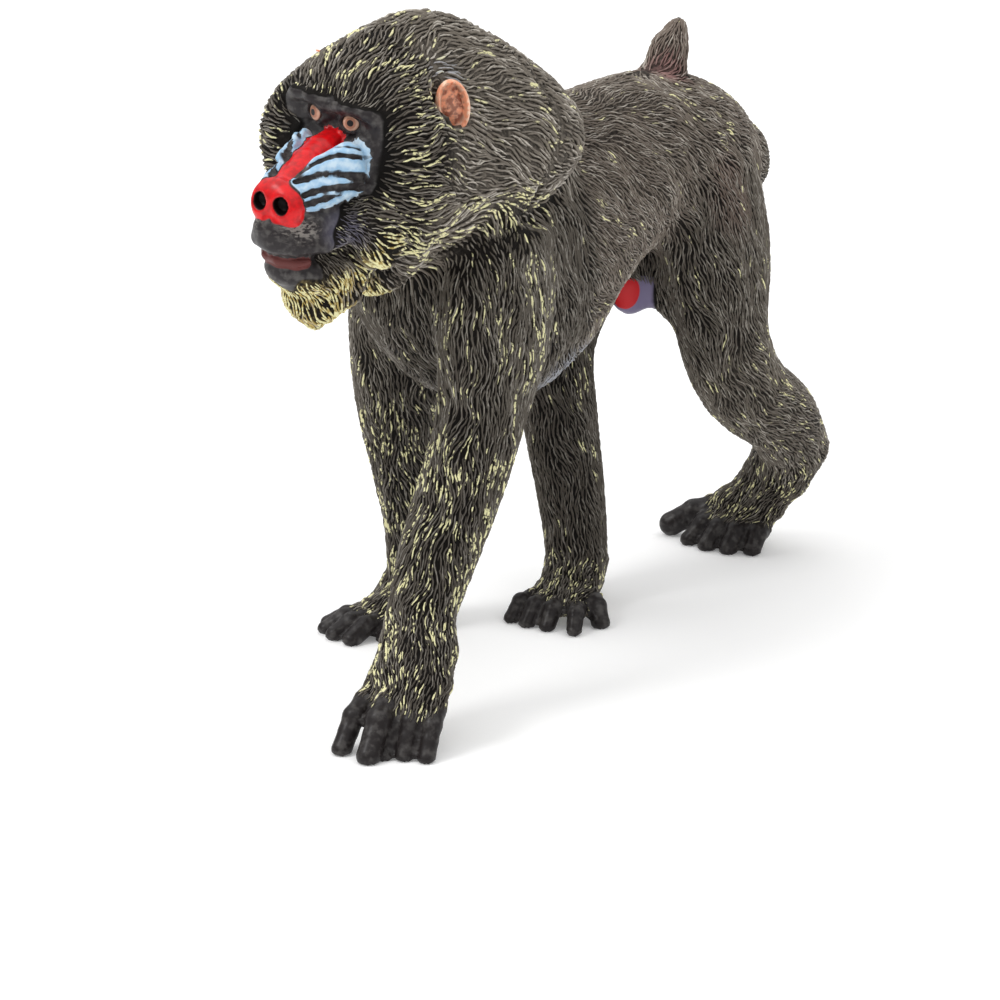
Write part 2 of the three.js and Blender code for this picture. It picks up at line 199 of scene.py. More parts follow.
def bar(p, stations):
    """A bar through stations of (place, half width across, half depth)."""
    whole = None
    for (start, width_a, depth_a), (end, width_b, depth_b) in zip(stations, stations[1:]):
        start, run = np.array(start), np.array(end) - np.array(start)
        t = np.clip((p - start) @ run / (run @ run), 0, 1)[:, None]
        width = width_a + (width_b - width_a) * t
        depth = depth_a + (depth_b - depth_a) * t
        size = np.hstack([width, depth, depth])
        offset = np.linalg.norm((p - start - run * t) / size, axis=1)
        value = (offset - 1) * size.min(axis=1)
        whole = value if whole is None else merge(whole, value, BAR_MELT)
    return whole


print("1 mm outside a ball the clay reads", lump(np.array([[3.0, 0, 0]]), (0, 0, 0), (2, 2, 2)))

# %% The forms of the face, in the figure's millimetres
EYE = (2.1, -33.9, 67.83)
GAZE = math.radians(18)       # each eye looks a little outwards
LIDS = (1.75, 1.6, 1.6)
LID_DISC = 1.15               # radius of the two discs that cross in the almond of an eye
LID_DISC_SHIFT = 0.35         # how far each disc is above or below the eye's middle
BED = ((0, -30.2, 60), (10.5, 4.3, 13))           # what the other forms are laid on
BROW = [((0.0, -34.8, 69.1), 0.8, 0.8), ((2.4, -35.4, 69.75), 1.0, 0.85),
        ((4.4, -35.0, 69.55), 1.1, 0.85), ((6.2, -33.9, 68.3), 0.9, 0.9),
        ((7.1, -32.7, 66.2), 0.6, 0.6)]
BRIDGE = [((0, -34.6, 65.9), 1.35, 0.7), ((0, -36.8, 65.2), 1.5, 0.85),
          ((0, -39.4, 64.0), 1.5, 1.1), ((0, -41.4, 62.5), 1.8, 1.3), ((0, -42.8, 61.3), 2.1, 1.7)]
CHEEK_TOP = [((3.7, -37.0, 64.3), 1.75, 2.1), ((2.5, -40.0, 63.3), 1.3, 1.75),
             ((1.95, -42.0, 62.2), 1.0, 1.45), ((1.7, -43.0, 61.7), 0.9, 1.4)]
CHEEK_LOW = [((4.3, -36.8, 62.4), 1.4, 1.8), ((3.55, -39.8, 61.5), 1.35, 1.45),
             ((2.75, -42.0, 60.9), 1.2, 1.3), ((2.2, -43.0, 60.6), 0.9, 1.2)]
CHEEK_OUT = np.array([0.58, -0.6, 0.55])          # roughly square to the swelling's face
BRIDGE_EDGE = 1.8             # from here outwards the right swelling is squeezed
GROOVE_DEPTH = 0.42
FAR_SHIFT = np.array([1.2, 0.0, 0.45])            # the right grooves are lower, nearer the bridge
GROOVES = [                   # half width, and the line along the swelling from the nose back
    (0.18, [(2.9, -38.7, 66.2), (3.6, -38.4, 66.35), (4.5, -37.9, 66.45), (5.05, -36.8, 66.05),
            (5.5, -35.0, 65.6)]),
    (0.31, [(1.5, -43.0, 63.3), (2.0, -41.9, 64.15), (3.0, -41.0, 65.0), (3.7, -40.0, 65.5),
            (4.3, -39.3, 65.7), (5.3, -38.1, 65.5), (5.6, -36.3, 65.0), (6.0, -34.4, 64.5)]),
    (0.38, [(2.1, -43.8, 63.05), (3.05, -43.0, 63.5), (3.75, -42.0, 63.9), (4.35, -41.2, 64.0),
            (4.9, -40.0, 63.9), (5.4, -38.6, 63.4), (5.6, -36.4, 62.8), (6.0, -34.4, 62.3)]),
    (0.34, [(3.1, -43.7, 61.7), (3.7, -42.8, 62.1), (4.3, -41.7, 62.35), (4.9, -39.9, 62.2),
            (5.4, -37.4, 61.9), (6.0, -35.0, 61.5)]),
    (0.26, [(2.85, -43.3, 60.4), (3.45, -42.5, 60.65), (3.95, -41.2, 60.9), (4.2, -38.8, 60.75)]),
]
MUZZLE = [((0, -34.0, 57.4), 5.3, 3.4), ((0, -38.5, 57.6), 5.0, 3.5),
          ((0, -41.8, 57.4), 4.2, 3.1), ((0, -43.9, 57.0), 3.2, 2.4)]
UPPER_LIP = [((0, -45.3, 56.0), 0.9, 0.8), ((2.4, -44.3, 55.9), 0.9, 0.8),
             ((4.1, -41.6, 56.0), 0.8, 0.8), ((4.7, -39.4, 56.6), 0.7, 0.8)]
JAW = [((0, -34.0, 51.9), 5.0, 2.8), ((0, -38.6, 52.0), 4.6, 2.7),
       ((0, -41.4, 52.3), 3.8, 2.3), ((0, -42.9, 52.7), 2.8, 1.7)]
JOWL = ((5.4, -34.2, 57.2), (3.6, 3.2, 5.2))
BEARD = [((0, -36.2, 50.4), 5.4, 3.6), ((0, -38.6, 48.8), 3.6, 3.0), ((0, -38.4, 46.4), 1.3, 1.3)]
LOWER_LIP = [((0, -44.3, 54.1), 0.8, 0.65), ((1.8, -43.7, 54.1), 0.8, 0.6),
             ((2.8, -43.0, 54.2), 0.5, 0.45)]
MOUTH = [((0, -46.4, 55.0), 0.3, 0.15), ((2.4, -45.2, 54.95), 0.3, 0.15),
         ((4.4, -42.2, 55.1), 0.3, 0.15), ((5.2, -40.4, 55.4), 0.25, 0.1)]
NOSE = ((0, -44.0, 60.4), (2.85, 1.75, 2.5))
NOSE_WING = ((1.5, -44.35, 59.8), (1.65, 1.5, 2.1))
NOSTRIL = [((1.1, -43.0, 60.6), 0.4, 0.4), ((1.55, -46.8, 60.35), 1.14, 1.14)]
SEPTUM_FOOT = ((0.65, -45.1, 58.4), (0.8, 0.7, 0.8))
print("grooves in each swelling:", len(GROOVES))

# %% [markdown]
# The head isn't quite even: it leans, and its right swelling is narrower than the left one.
# Writing every form twice would be one way. Here each form is written once, for the left half
# of an upright head, and a point of the real head is first moved to the place that it stands
# for there.

# %% From the leaning head to an even one
def face_middle(z):
    """How far the middle of the face is from the figure's middle plane, by height."""
    return 0.15 + 0.22 * ease(61, 67, z)


def head_lean(z):
    """The head leans, so that its right side sits higher: by this slope, more at the brow."""
    return 0.087 + 0.06 * ease(63, 68, z)


def far_side(p):
    """1 on the figure's right half of the face, 0 on the left."""
    return (p[:, 0] < face_middle(p[:, 2])).astype(float)


def on_swelling(m):
    """1 within the height and depth of a blue swelling, easing to 0 just past them."""
    y, z = m[:, 1], m[:, 2]
    return ease(59.6, 61.0, z) * ease(66.9, 66.3, z) * ease(-43.6, -42.2, y) * ease(-33.6, -34.8, y)


def mirrored(p):
    """The place on an upright, even head that a point of the leaning one stands for."""
    m = p.copy()
    m[:, 0] = np.abs(p[:, 0] - face_middle(p[:, 2]))
    m[:, 2] = p[:, 2] + head_lean(p[:, 2]) * p[:, 0]
    squeeze = (0.7 + 0.8 * ease(64.0, 66.0, m[:, 2])) * on_swelling(m) * far_side(p)
    m[:, 0] += squeeze * np.maximum(m[:, 0] - BRIDGE_EDGE, 0)
    return m


def on_head(spot, side):
    """The other way round: where a place of the upright head is on the leaning one."""
    x = side * spot[0] + face_middle(spot[2])
    return np.array([x, spot[1], spot[2] - head_lean(spot[2]) * x])


print("left eye on the leaning head, mm:", on_head(EYE, 1).round(2))

# %% [markdown]
# A groove runs along its swelling and is cut square to it. The distance from its line says how
# deep the cut is, and places are pressed almost flat first, so that the groove is as wide at
# the top of the swelling as deep inside it. The lids are a ball, with an almond cut out where
# two discs cross.

# %% The grooves, the forms and the whole face
def flattened(p):
    """Places pressed together towards the face of the swelling, so that only the run of a
    groove along it matters much."""
    p = np.atleast_2d(p)
    return p - 0.75 * (p @ CHEEK_OUT)[:, None] * CHEEK_OUT


def from_line(p, line):
    """The distance from a line through places."""
    return bar(p, [(spot, 1.0, 1.0) for spot in line]) + 1.0


def groove_value(m, far):
    """Millimetres from the edge of the nearest groove, negative in it."""
    flat = flattened(m + far[:, None] * FAR_SHIFT)
    return np.minimum.reduce([from_line(flat, flattened(line)) - width for width, line in GROOVES])


def cheek_value(m):
    return merge(bar(m, CHEEK_TOP), bar(m, CHEEK_LOW), 0.9)


def face_forms(m, far):
    """The main forms apart, so that the paint can ask which one a point belongs to."""
    nose = merge(merge(lump(m, *NOSE), lump(m, *NOSE_WING), 0.5), lump(m, *SEPTUM_FOOT), 0.3)
    return {
        "bed": merge(lump(m, *BED), lump(m, *JOWL), 1.0),
        "brow": bar(m, BROW),
        "lids": lump(m, EYE, LIDS),
        "bridge": bar(m, BRIDGE),
        "nose": nose,
        "cheek": cheek_value(m) + GROOVE_DEPTH * ease(0.08, -0.14, groove_value(m, far)),
        "muzzle": merge(bar(m, MUZZLE), bar(m, UPPER_LIP), 0.7),
        "jaw": merge(bar(m, JAW), bar(m, BEARD), 1.0),
        "lower_lip": bar(m, LOWER_LIP),
    }


def eye_opening(m):
    """The almond between the lids: where two discs cross, seen along the gaze."""
    x, y, up = m[:, 0] - EYE[0], m[:, 1] - EYE[1], m[:, 2] - EYE[2]
    across = x * math.cos(GAZE) + y * math.sin(GAZE)
    ahead = x * math.sin(GAZE) - y * math.cos(GAZE)
    discs = [np.hypot(across, up + shift) - LID_DISC for shift in (LID_DISC_SHIFT, -LID_DISC_SHIFT)]
    return np.maximum(np.maximum(*discs), 0.3 - ahead)


# Each form in the order it is laid on the bed, and how softly it melts into those before
LAID_ON = (("brow", 1.6), ("lids", 0.6), ("muzzle", 1.0), ("jaw", 0.7), ("cheek", 0.3),
           ("bridge", 0.3), ("lower_lip", 0.3), ("nose", 0.3))


def face_value(p):
    m = mirrored(p)
    form = face_forms(m, far_side(p))
    value = form["bed"]
    for name, soft in LAID_ON:
        value = merge(value, form[name], soft)
    value = carve(value, bar(m, MOUTH), 0.2)
    value = carve(value, bar(m, NOSTRIL), 0.25)
    return carve(value, eye_opening(m), 0.2)


print("clay at the middle of an eye, mm:", face_value(on_head(EYE, 1)[None]).round(2))

# %% [markdown]
# A formula has no points of its own. The usual way to get them is to sample it on a grid of
# small cubes: every cube that the surface crosses gets one point, at the mean of the places
# where its edges are crossed, and four neighbouring points make a face.

# %% Turning a formula into a mesh
def corners_of(shape, offset):
    return tuple(slice(o, n - 1 + o) for o, n in zip(offset, shape))


def cube_points(grid):
    """One point for each crossed cube, and a lookup from cube to point number."""
    total = np.zeros(tuple(n - 1 for n in grid.shape) + (3,))
    hits = np.zeros(total.shape[:3])
    for axis in range(3):
        for u, v in ((0, 0), (0, 1), (1, 0), (1, 1)):
            start = np.zeros(3, int)
            start[(axis + 1) % 3], start[(axis + 2) % 3] = u, v
            end = start.copy()
            end[axis] = 1
            a, b = grid[corners_of(grid.shape, start)], grid[corners_of(grid.shape, end)]
            crossed = (a < 0) != (b < 0)
            share = np.where(crossed, a / np.where(crossed, a - b, 1), 0)[..., None]
            total += (start + share * (end - start)) * crossed[..., None]
            hits += crossed
    used = hits > 0
    number = np.full(hits.shape, -1)
    number[used] = np.arange(used.sum())
    return np.argwhere(used) + total[used] / hits[used][:, None], number


def cube_faces(grid, number):
    """Each crossed edge of the grid is ringed by four cubes: their points make a face."""
    faces = []
    for axis in range(3):
        one, two = np.eye(3, dtype=int)[(axis + 1) % 3], np.eye(3, dtype=int)[(axis + 2) % 3]
        step = np.eye(3, dtype=int)[axis]
        near = grid[tuple(slice(0, n - s) for n, s in zip(grid.shape, step))]
        far = grid[tuple(slice(s, n) for n, s in zip(grid.shape, step))]
        at = np.argwhere((near < 0) != (far < 0))
        ring = [number[tuple((at - shift).T)] for shift in (0 * one, one, one + two, two)]
        ring = np.column_stack(ring)
        outward = near[tuple(at.T)] < 0
        faces.append(np.where(outward[:, None], ring, ring[:, ::-1]))
    return np.vstack(faces)


def mesh_of(value, low, high, step):
    axes = [np.arange(a, b, step) for a, b in zip(low, high)]
    spots = np.stack(np.meshgrid(*axes, indexing="ij"), axis=-1)
    grid = value(spots.reshape(-1, 3)).reshape(spots.shape[:3])
    points, number = cube_points(grid)
    faces = cube_faces(grid, number)
    mesh = bpy.data.meshes.new("clay")
    mesh.from_pydata(to_frame(points * step + np.array(low)), [], faces.tolist())
    return mesh


FACE_BOX = ((-12, -48, 43), (12, -25, 75))
FACE_STEP, END_STEP, LUMP_STEP = 0.35, 0.32, 0.4      # sides of the cubes for each kind of clay
clay = []


def add_clay(value, low, high, step):
    """Makes a piece of clay from a formula, inside a box, and counts its points."""
    mesh = mesh_of(value, low, high, step)
    clay.append(new_object("clay", mesh))
    return len(mesh.vertices)


print("face in clay:", add_clay(face_value, *FACE_BOX, FACE_STEP), "points")

# %% [markdown]
# ## Hands and feet as clay
#
# Fingers and toes are the other bare places, and a wrap would web them together. The same
# formula tools make them: a flattened palm and a bent bar for each digit, with its pad pressed
# flat by the floor.

# %% Palms and digits: start, end on the floor, radius, rise of the knuckle, lift of the pad
ENDS = {
    "hand_left": {
        "palm": [((9.4, -32.2, 12.6), 4.1, 3.8), ((10.8, -34.4, 10.0), 4.9, 3.4),
                 ((11.6, -36.8, 7.4), 5.3, 2.8), ((11.7, -38.9, 5.4), 4.7, 1.7)],
        "digits": [((7.5, -39.6, 4.8), (7.8, -45.0), 1.15, 0.9),
                   ((10.7, -39.6, 5.0), (11.8, -45.4), 1.35, 1.1),
                   ((13.4, -38.4, 5.0), (14.5, -42.4), 1.05, 1.0),
                   ((15.6, -37.4, 4.8), (16.9, -41.6), 1.0, 0.9),
                   ((9.0, -38.0, 3.2), (13.2, -43.9), 0.8, 0.1)]},
    "hand_right": {
        "palm": [((-11.2, -5.2, 6.5), 3.6, 3.6), ((-11.8, -6.4, 3.8), 3.8, 3.0),
                 ((-12.8, -9.0, 2.4), 3.8, 2.0), ((-13.6, -10.6, 1.7), 3.4, 1.4)],
        "digits": [((-15.8, -9.0, 1.5), (-19.6, -12.2), 0.95, 0.5),
                   ((-15.2, -10.4, 1.6), (-18.2, -14.4), 1.05, 0.6),
                   ((-13.9, -11.0, 1.7), (-15.9, -15.7), 1.1, 0.6),
                   ((-12.2, -10.8, 1.7), (-13.0, -16.1), 1.1, 0.6),
                   ((-10.4, -8.6, 1.6), (-10.2, -13.2), 1.05, 0.3)]},
    "foot_left": {
        "palm": [((11.2, 43.8, 14.4), 4.7, 4.7), ((8.2, 45.0, 9.4), 4.7, 3.5),
                 ((4.9, 43.9, 5.2), 5.3, 2.7), ((3.5, 42.4, 2.9), 5.4, 1.9)],
        "digits": [((0.2, 43.8, 4.0), (-5.6, 41.0), 1.55, 0.4, 0.5),
                   ((1.4, 42.2, 2.6), (-1.2, 38.9), 1.2, 0.9),
                   ((3.4, 41.8, 2.4), (1.9, 38.2), 1.2, 1.0),
                   ((5.5, 42.0, 2.4), (5.0, 38.5), 1.2, 1.0),
                   ((7.6, 42.8, 2.4), (7.8, 39.8), 1.15, 0.9)]},
    "foot_right": {
        "palm": [((-1.2, 14.2, 5.4), 3.9, 4.4), ((-0.2, 12.0, 3.4), 3.9, 3.6),
                 ((1.4, 8.0, 2.6), 4.4, 2.2), ((2.1, 5.4, 2.0), 4.3, 1.5)],
        "digits": [((-1.8, 5.2, 2.0), (-2.2, 1.4), 1.0, 0.9),
                   ((0.4, 4.6, 2.1), (0.3, 1.0), 1.0, 1.0),
                   ((2.7, 4.6, 2.1), (3.1, 1.3), 1.0, 1.0),
                   ((5.0, 5.2, 2.1), (6.8, 1.7), 0.95, 0.9),
                   ((4.8, 8.6, 2.2), (7.9, 6.0), 1.15, 0.6)]},
}
PAD_SINK = 0.55               # how far the floor has pressed each pad flat
PAD_SHARE = 0.9               # how far along a digit the middle of its pad is
# Down a digit: share of its length, share of the knuckle's rise, share of its radius
DIGIT_SHAPE = ((-0.45, 0.0, 0.8), (0.12, 0.35, 0.98), (0.45, 1.0, 1.08), (0.66, 0.55, 0.95),
               (PAD_SHARE, 0.0, 1.0))
DIGIT_MELT, PALM_MELT = 0.12, 0.7     # how softly digits melt together, and into the palm
print("digits:", {name: len(end["digits"]) for name, end in ENDS.items()})

# %% Hands and feet as formulas, then as clay
def digit_stations(start, end, radius, arch, lift=0.0):
    start, end = np.array(start, float), np.array(end, float)
    pad = radius * 0.95 - PAD_SINK + lift
    stations = []
    for share, rise, size in DIGIT_SHAPE:
        height = start[2] + (pad - start[2]) * min(share / PAD_SHARE, 1) + arch * rise
        across = start[:2] + (end - start[:2]) * share
        stations.append(((across[0], across[1], height), radius * size, radius * size))
    return stations


def end_value(name):
    """The formula of one hand or foot, cut off flat at the floor."""
    stations = [digit_stations(*digit) for digit in ENDS[name]["digits"]]

    def value(p):
        digits = bar(p, stations[0])
        for digit in stations[1:]:
            digits = merge(digits, bar(p, digit), DIGIT_MELT)
        whole = merge(bar(p, ENDS[name]["palm"]), digits, PALM_MELT)
        return np.maximum(whole, -p[:, 2])

    return value


def end_box(name):
    """A box round one hand or foot, with room for its thickness."""
    room = 5.5
    places = [station[0] for station in ENDS[name]["palm"]]
    for digit in ENDS[name]["digits"]:
        places += [station[0] for station in digit_stations(*digit)]
    places = np.array(places)
    return places.min(axis=0) - room, places.max(axis=0) + room


end_values = {name: end_value(name) for name in ENDS}
for name, value in end_values.items():
    print(name, "in clay:", add_clay(value, *end_box(name), END_STEP), "points")

# %% [markdown]
# The stub of the tail and the bare lump under the loins are two more forms that a wrap would
# wear down, so they are clay as well. Two more lumps fill out limbs where the solids are lean.

# %% Tail and lumps
TAIL = [((0, 29.3, 57.5), 3.9, 3.6), ((0, 30.0, 61.2), 3.2, 3.0),
        ((0, 31.7, 64.7), 2.75, 2.5), ((0, 33.4, 67.0), 1.75, 1.6)]
LOIN_LUMP = ((0.8, 22.8, 38.2), (2.7, 4.3, 4.7))
ARM_LUMP = ((-7.1, -9.2, 30.6), (2.5, 2.6, 4.4))      # fills out the inner side of the right arm
THIGH_LUMP = ((5.2, 25.6, 37.4), (3.0, 3.6, 5.0))     # and the inner front of the left thigh
TAIL_BOX = ((-6, 23, 52), (6, 38, 71))


def add_lump(centre, radii):
    room = 1
    low, high = np.array(centre) - radii - room, np.array(centre) + radii + room
    return add_clay(lambda p: lump(p, centre, radii), low, high, LUMP_STEP)


add_clay(lambda p: bar(p, TAIL), *TAIL_BOX, LUMP_STEP)
print("points in the lumps:", [add_lump(*form) for form in (LOIN_LUMP, ARM_LUMP, THIGH_LUMP)])

# %% [markdown]
# ## The skin
#
# The real toy is one moulded body, so one skin replaces all the CAD solids of flesh. Sculpting
# it by hand would need a window. Instead the solids are copied, swollen until their gaps
# close, and wrapped together with the clay by a voxel Remesh, which gives one closed surface
# with even faces. Swelling first matters, because a remesh can follow the walls of a gap and
# leave a pit there.

# %% Copying the flesh
SWELL = 0.22                  # a little more than half of the CAD's 0.3 mm gaps
SAME_PLACE = 1e-6             # metres: corners closer than this are one
FLESH = sorted(name for name in nodes if not name.startswith(("eye", "ear")))
FACE_NODES = ("face", "snout", "nose", "cheek", "jaw")
MADE_IN_CLAY = (*FACE_NODES, *ENDS, "tail", "groin")


def swollen_copies(names):
    """One mesh of copies of CAD solids, each grown outwards by the swell."""
    whole = bmesh.new()
    for name in names:
        part = bmesh.new()
        part.from_mesh(nodes[name].data)
        bmesh.ops.remove_doubles(part, verts=part.verts, dist=SAME_PLACE)
        part.normal_update()
        for v in part.verts:
            v.co += v.normal * SWELL * MM
        mesh = bpy.data.meshes.new("copy")
        part.to_mesh(mesh)
        part.free()
        whole.from_mesh(mesh)
        bpy.data.meshes.remove(mesh)
    mesh = bpy.data.meshes.new("skin")
    whole.to_mesh(mesh)
    whole.free()
    return new_object("skin", mesh)


skin = swollen_copies([name for name in FLESH if not name.startswith(MADE_IN_CLAY)])
print("points in the copies:", len(skin.data.vertices))

# %% Wrapping the copies and the clay together
VOXEL = 0.64


def wrap(piece):
    pick(piece)
    remesh = piece.modifiers.new("wrap", "REMESH")
    remesh.mode = "VOXEL"
    remesh.voxel_size = VOXEL * MM
    bpy.ops.object.modifier_apply(modifier=remesh.name)


def keep_largest(mesh):
    """Deletes the small closed pockets that a wrap leaves inside, and counts them."""
    label = np.arange(len(mesh.vertices))
    edges = read_edges(mesh)
    while True:
        low = np.minimum(label[edges[:, 0]], label[edges[:, 1]])
        before = label.copy()
        np.minimum.at(label, edges[:, 0], low)
        np.minimum.at(label, edges[:, 1], low)
        label = label[label]
        if (label == before).all():
            break
    names, sizes = np.unique(label, return_counts=True)
    outer = names[sizes.argmax()]
    work = bmesh.new()
    work.from_mesh(mesh)
    work.verts.ensure_lookup_table()
    bmesh.ops.delete(work, geom=[work.verts[i] for i in np.flatnonzero(label != outer)],
                     context="VERTS")
    work.to_mesh(mesh)
    work.free()
    return len(names) - 1


pick(skin)
for part in clay:
    part.select_set(True)
bpy.ops.object.join()
wrap(skin)
print("pockets removed:", keep_largest(skin.data))
print("points of the wrapped skin:", len(skin.data.vertices))

# %% [markdown]
# Each point of the skin remembers the CAD solid it lies nearest to. That name decides how its
# fur lies and how far it is smoothed.

# %% Naming the region of every point
def solids_tree():
    corners, faces, owner = [], [], []
    for number, name in enumerate(FLESH):
        mesh = nodes[name].data
        start = len(corners)
        corners += [v.co.copy() for v in mesh.vertices]
        for polygon in mesh.polygons:
            faces.append([start + i for i in polygon.vertices])
            owner.append(number)
    return BVHTree.FromPolygons(corners, faces), np.array(owner)


solid_tree, face_owner = solids_tree()


def survey():
    """Where the skin's points are now, in millimetres, and the number of each one's region."""
    places = read_points(skin.data)
    found = [solid_tree.find_nearest(Vector(p))[2] for p in places]
    return to_mm(places), face_owner[found]


def is_in(region, *starts):
    wanted = [i for i, name in enumerate(FLESH) if name.startswith(starts)]
    return np.isin(region, wanted)


points, region = survey()
print("regions found:", len(np.unique(region)), "of", len(FLESH))

# %% [markdown]
# ## Smoothing
#
# The solids are faceted. Moving every point towards the mean of its neighbours, many times,
# melts the facets and the seams between solids. Each pull also shrinks the body a little, so
# most pulls are followed by an equal push outwards, which keeps the bulk and the crest. The
# clay is nearly left alone.

# %% Relaxing a mesh by region
PULL = 0.5                    # share of the way to the mean of its neighbours
PUSH = 1.04                   # the push outwards after it, in pulls
CLAY_HOLD = 0.93              # how much less the clay gives way


def pulled(values, edges, strength):
    a, b = edges[:, 0], edges[:, 1]
    count = len(values)
    neighbours = np.bincount(a, minlength=count) + np.bincount(b, minlength=count)
    moved = values.copy()
    for axis in range(values.shape[1]):
        total = np.bincount(a, values[b, axis], count) + np.bincount(b, values[a, axis], count)
        moved[:, axis] += strength * (total / np.maximum(neighbours, 1) - values[:, axis])
    return moved


def relax(values, edges, rounds, strength=PULL, push=0.0):
    for _ in range(rounds):
        values = pulled(values, edges, strength)
        if push:
            values = pulled(values, edges, -push * strength)
    return values


def digit_zone(p, region):
    """1 on fingers and toes, 0 above the knuckles."""
    zone = np.zeros(len(p))
    for name in ENDS:
        own = np.flatnonzero(is_in(region, name))
        digits = [bar(p[own], digit_stations(*digit)[1:]) for digit in ENDS[name]["digits"]]
        zone[own] = ease(0.5, 0.1, np.minimum.reduce(digits))
    return zone


ends = np.where(is_in(region, "hand", "foot", "tail"), 1.0, 0.0)
face_parts = np.where(is_in(region, *FACE_NODES), 1.0, 0.0)
edges = read_edges(skin.data)
held = relax(np.column_stack([ends, face_parts]), edges, 4).max(axis=1)
strength = PULL * (1 - CLAY_HOLD * held)
points = relax(points, edges, 5, strength)
points = relax(points, edges, 16, strength, PUSH)
write_points(skin.data, to_frame(points))
print("relaxed;", round(float(ends.mean()), 3), "of the points are on hands, feet and tail")

# %% [markdown]
# The wrapped skin has a point every 0.6 mm, which is enough under fur and too coarse for a
# face. Only the faces in the bare regions are subdivided, so the points go where they show.

# %% Finer faces where the skin is bare
def select_faces(piece, chosen):
    """Leaves the piece in edit mode with just these faces selected."""
    pick(piece)
    mesh = piece.data
    mesh.vertices.foreach_set("select", np.zeros(len(mesh.vertices), bool))
    mesh.edges.foreach_set("select", np.zeros(len(mesh.edges), bool))
    mesh.polygons.foreach_set("select", chosen)
    bpy.ops.object.mode_set(mode="EDIT")
    bpy.ops.mesh.select_mode(type="FACE")


def faces_within(mesh, chosen):
    return [all(chosen[i] for i in polygon.vertices) for polygon in mesh.polygons]


def subdivide_where(piece, chosen):
    select_faces(piece, faces_within(piece.data, chosen))
    bpy.ops.mesh.subdivide(number_cuts=1, smoothness=0.0)
    bpy.ops.object.mode_set(mode="OBJECT")


def in_hollow(m):
    """Inside or just round a nostril or an eye opening, where the wrap is far off the clay."""
    nostril = (bar(m, NOSTRIL) < 0.4) & (m[:, 1] < -43.0)
    return nostril | ((eye_opening(m) < 0.3) & (m[:, 1] < -33.5) & (m[:, 2] > 64))


def near_clay(p, reach):
    """True for points of the face's front that lie close to the clay."""
    found = np.zeros(len(p), bool)
    front = np.flatnonzero((p[:, 1] < -32.5) & (p[:, 2] > 44.5) & (np.abs(p[:, 0]) < 9.5))
    close = np.abs(face_value(p[front])) < reach
    found[front] = close | in_hollow(mirrored(p[front]))
    return found


def in_detail(p):
    """The nose, the swellings, the lips and the eyes."""
    m = mirrored(p)
    form = face_forms(m, far_side(p))
    fine = np.minimum.reduce([form[name] for name in
                              ("nose", "cheek", "lids", "bridge", "lower_lip")])
    fine = np.minimum(fine, bar(m, UPPER_LIP) + 0.3)
    return near_clay(p, 0.7) & (fine < 0.3) & (p[:, 1] < -34.4)


CHIN_Z = 51                   # the face is fine from the chin up
PAD_Z = 0.5                   # and the digits are finest above the flats of their pads
points = to_mm(read_points(skin.data))
subdivide_where(skin, near_clay(points, 0.6) & (points[:, 2] > CHIN_Z))
subdivide_where(skin, in_detail(to_mm(read_points(skin.data))))
points, region = survey()
subdivide_where(skin, digit_zone(points, region) > 0.02)
points, region = survey()
subdivide_where(skin, (digit_zone(points, region) > 0.3) & (points[:, 2] > PAD_Z))
points, region = survey()
print("after subdividing:", len(points), "points")

# %% [markdown]
# The wrap rounds off the grooves, so each point near the clay is moved straight back onto it.
# The slope of the formula says which way to go and how far.

# %% Moving the points onto the clay
REACH, FAR_REACH = 0.75, 1.3  # how far off the clay a point may be; farther on the swellings
PROBE = 0.02                  # the step that measures a slope
LONGEST_MOVE = 0.3


def onto_clay(p, clay_value):
    """Two moves straight along the slope of a formula, to where it is zero."""
    for _ in range(2):
        value = clay_value(p)
        slope = np.column_stack([
            (clay_value(p + step) - value) / PROBE for step in np.eye(3) * PROBE])
        steep = np.maximum((slope * slope).sum(axis=1), 0.2)
        move = np.clip(value / steep, -LONGEST_MOVE, LONGEST_MOVE)
        p = p - slope * move[:, None]
    return p


def press_onto(points, clay_value, active, share):
    """Moves the active points onto a formula, each by its share of the way, and eases them
    along it in between. Gives the share of every point too."""
    blend = np.zeros(len(points))
    blend[active] = share
    moved = points.copy()
    easing = np.where(blend > 0.5, 0.4, 0.0)
    for _ in range(3):
        moved[active] = onto_clay(moved[active], clay_value)
        moved[active] = pulled(moved, edges, easing)[active]
    moved[active] = onto_clay(moved[active], clay_value)
    return points + (moved - points) * blend[:, None], blend


edges = read_edges(skin.data)
active = np.flatnonzero(near_clay(points, FAR_REACH))
evened = mirrored(points[active])
reach = np.where(cheek_value(evened) < 1.0, FAR_REACH, REACH)
share = ease(reach, reach - 0.35, np.abs(face_value(points[active])))
points, on_clay = press_onto(points, face_value, active, np.maximum(share, in_hollow(evened)))
print("face points moved onto the clay:", len(active))
for name, value in end_values.items():
    active = np.flatnonzero(is_in(region, name))
    share = ease(1.1, 0.6, np.abs(value(points[active])))
    points, blend = press_onto(points, value, active, share)
    on_clay = np.maximum(on_clay, blend)
    print(name, "points moved onto the clay:", len(active))
write_points(skin.data, to_frame(points))

# %% [markdown]
# ## Where the fur ends
#
# The nose, the swellings, the muzzle, the brow, the fingers, the toes and the patches of the
# rear are bare on the toy. The skin shows there at its full size. Everywhere else it is sunk by
# the depth of the coat that will lie on it.

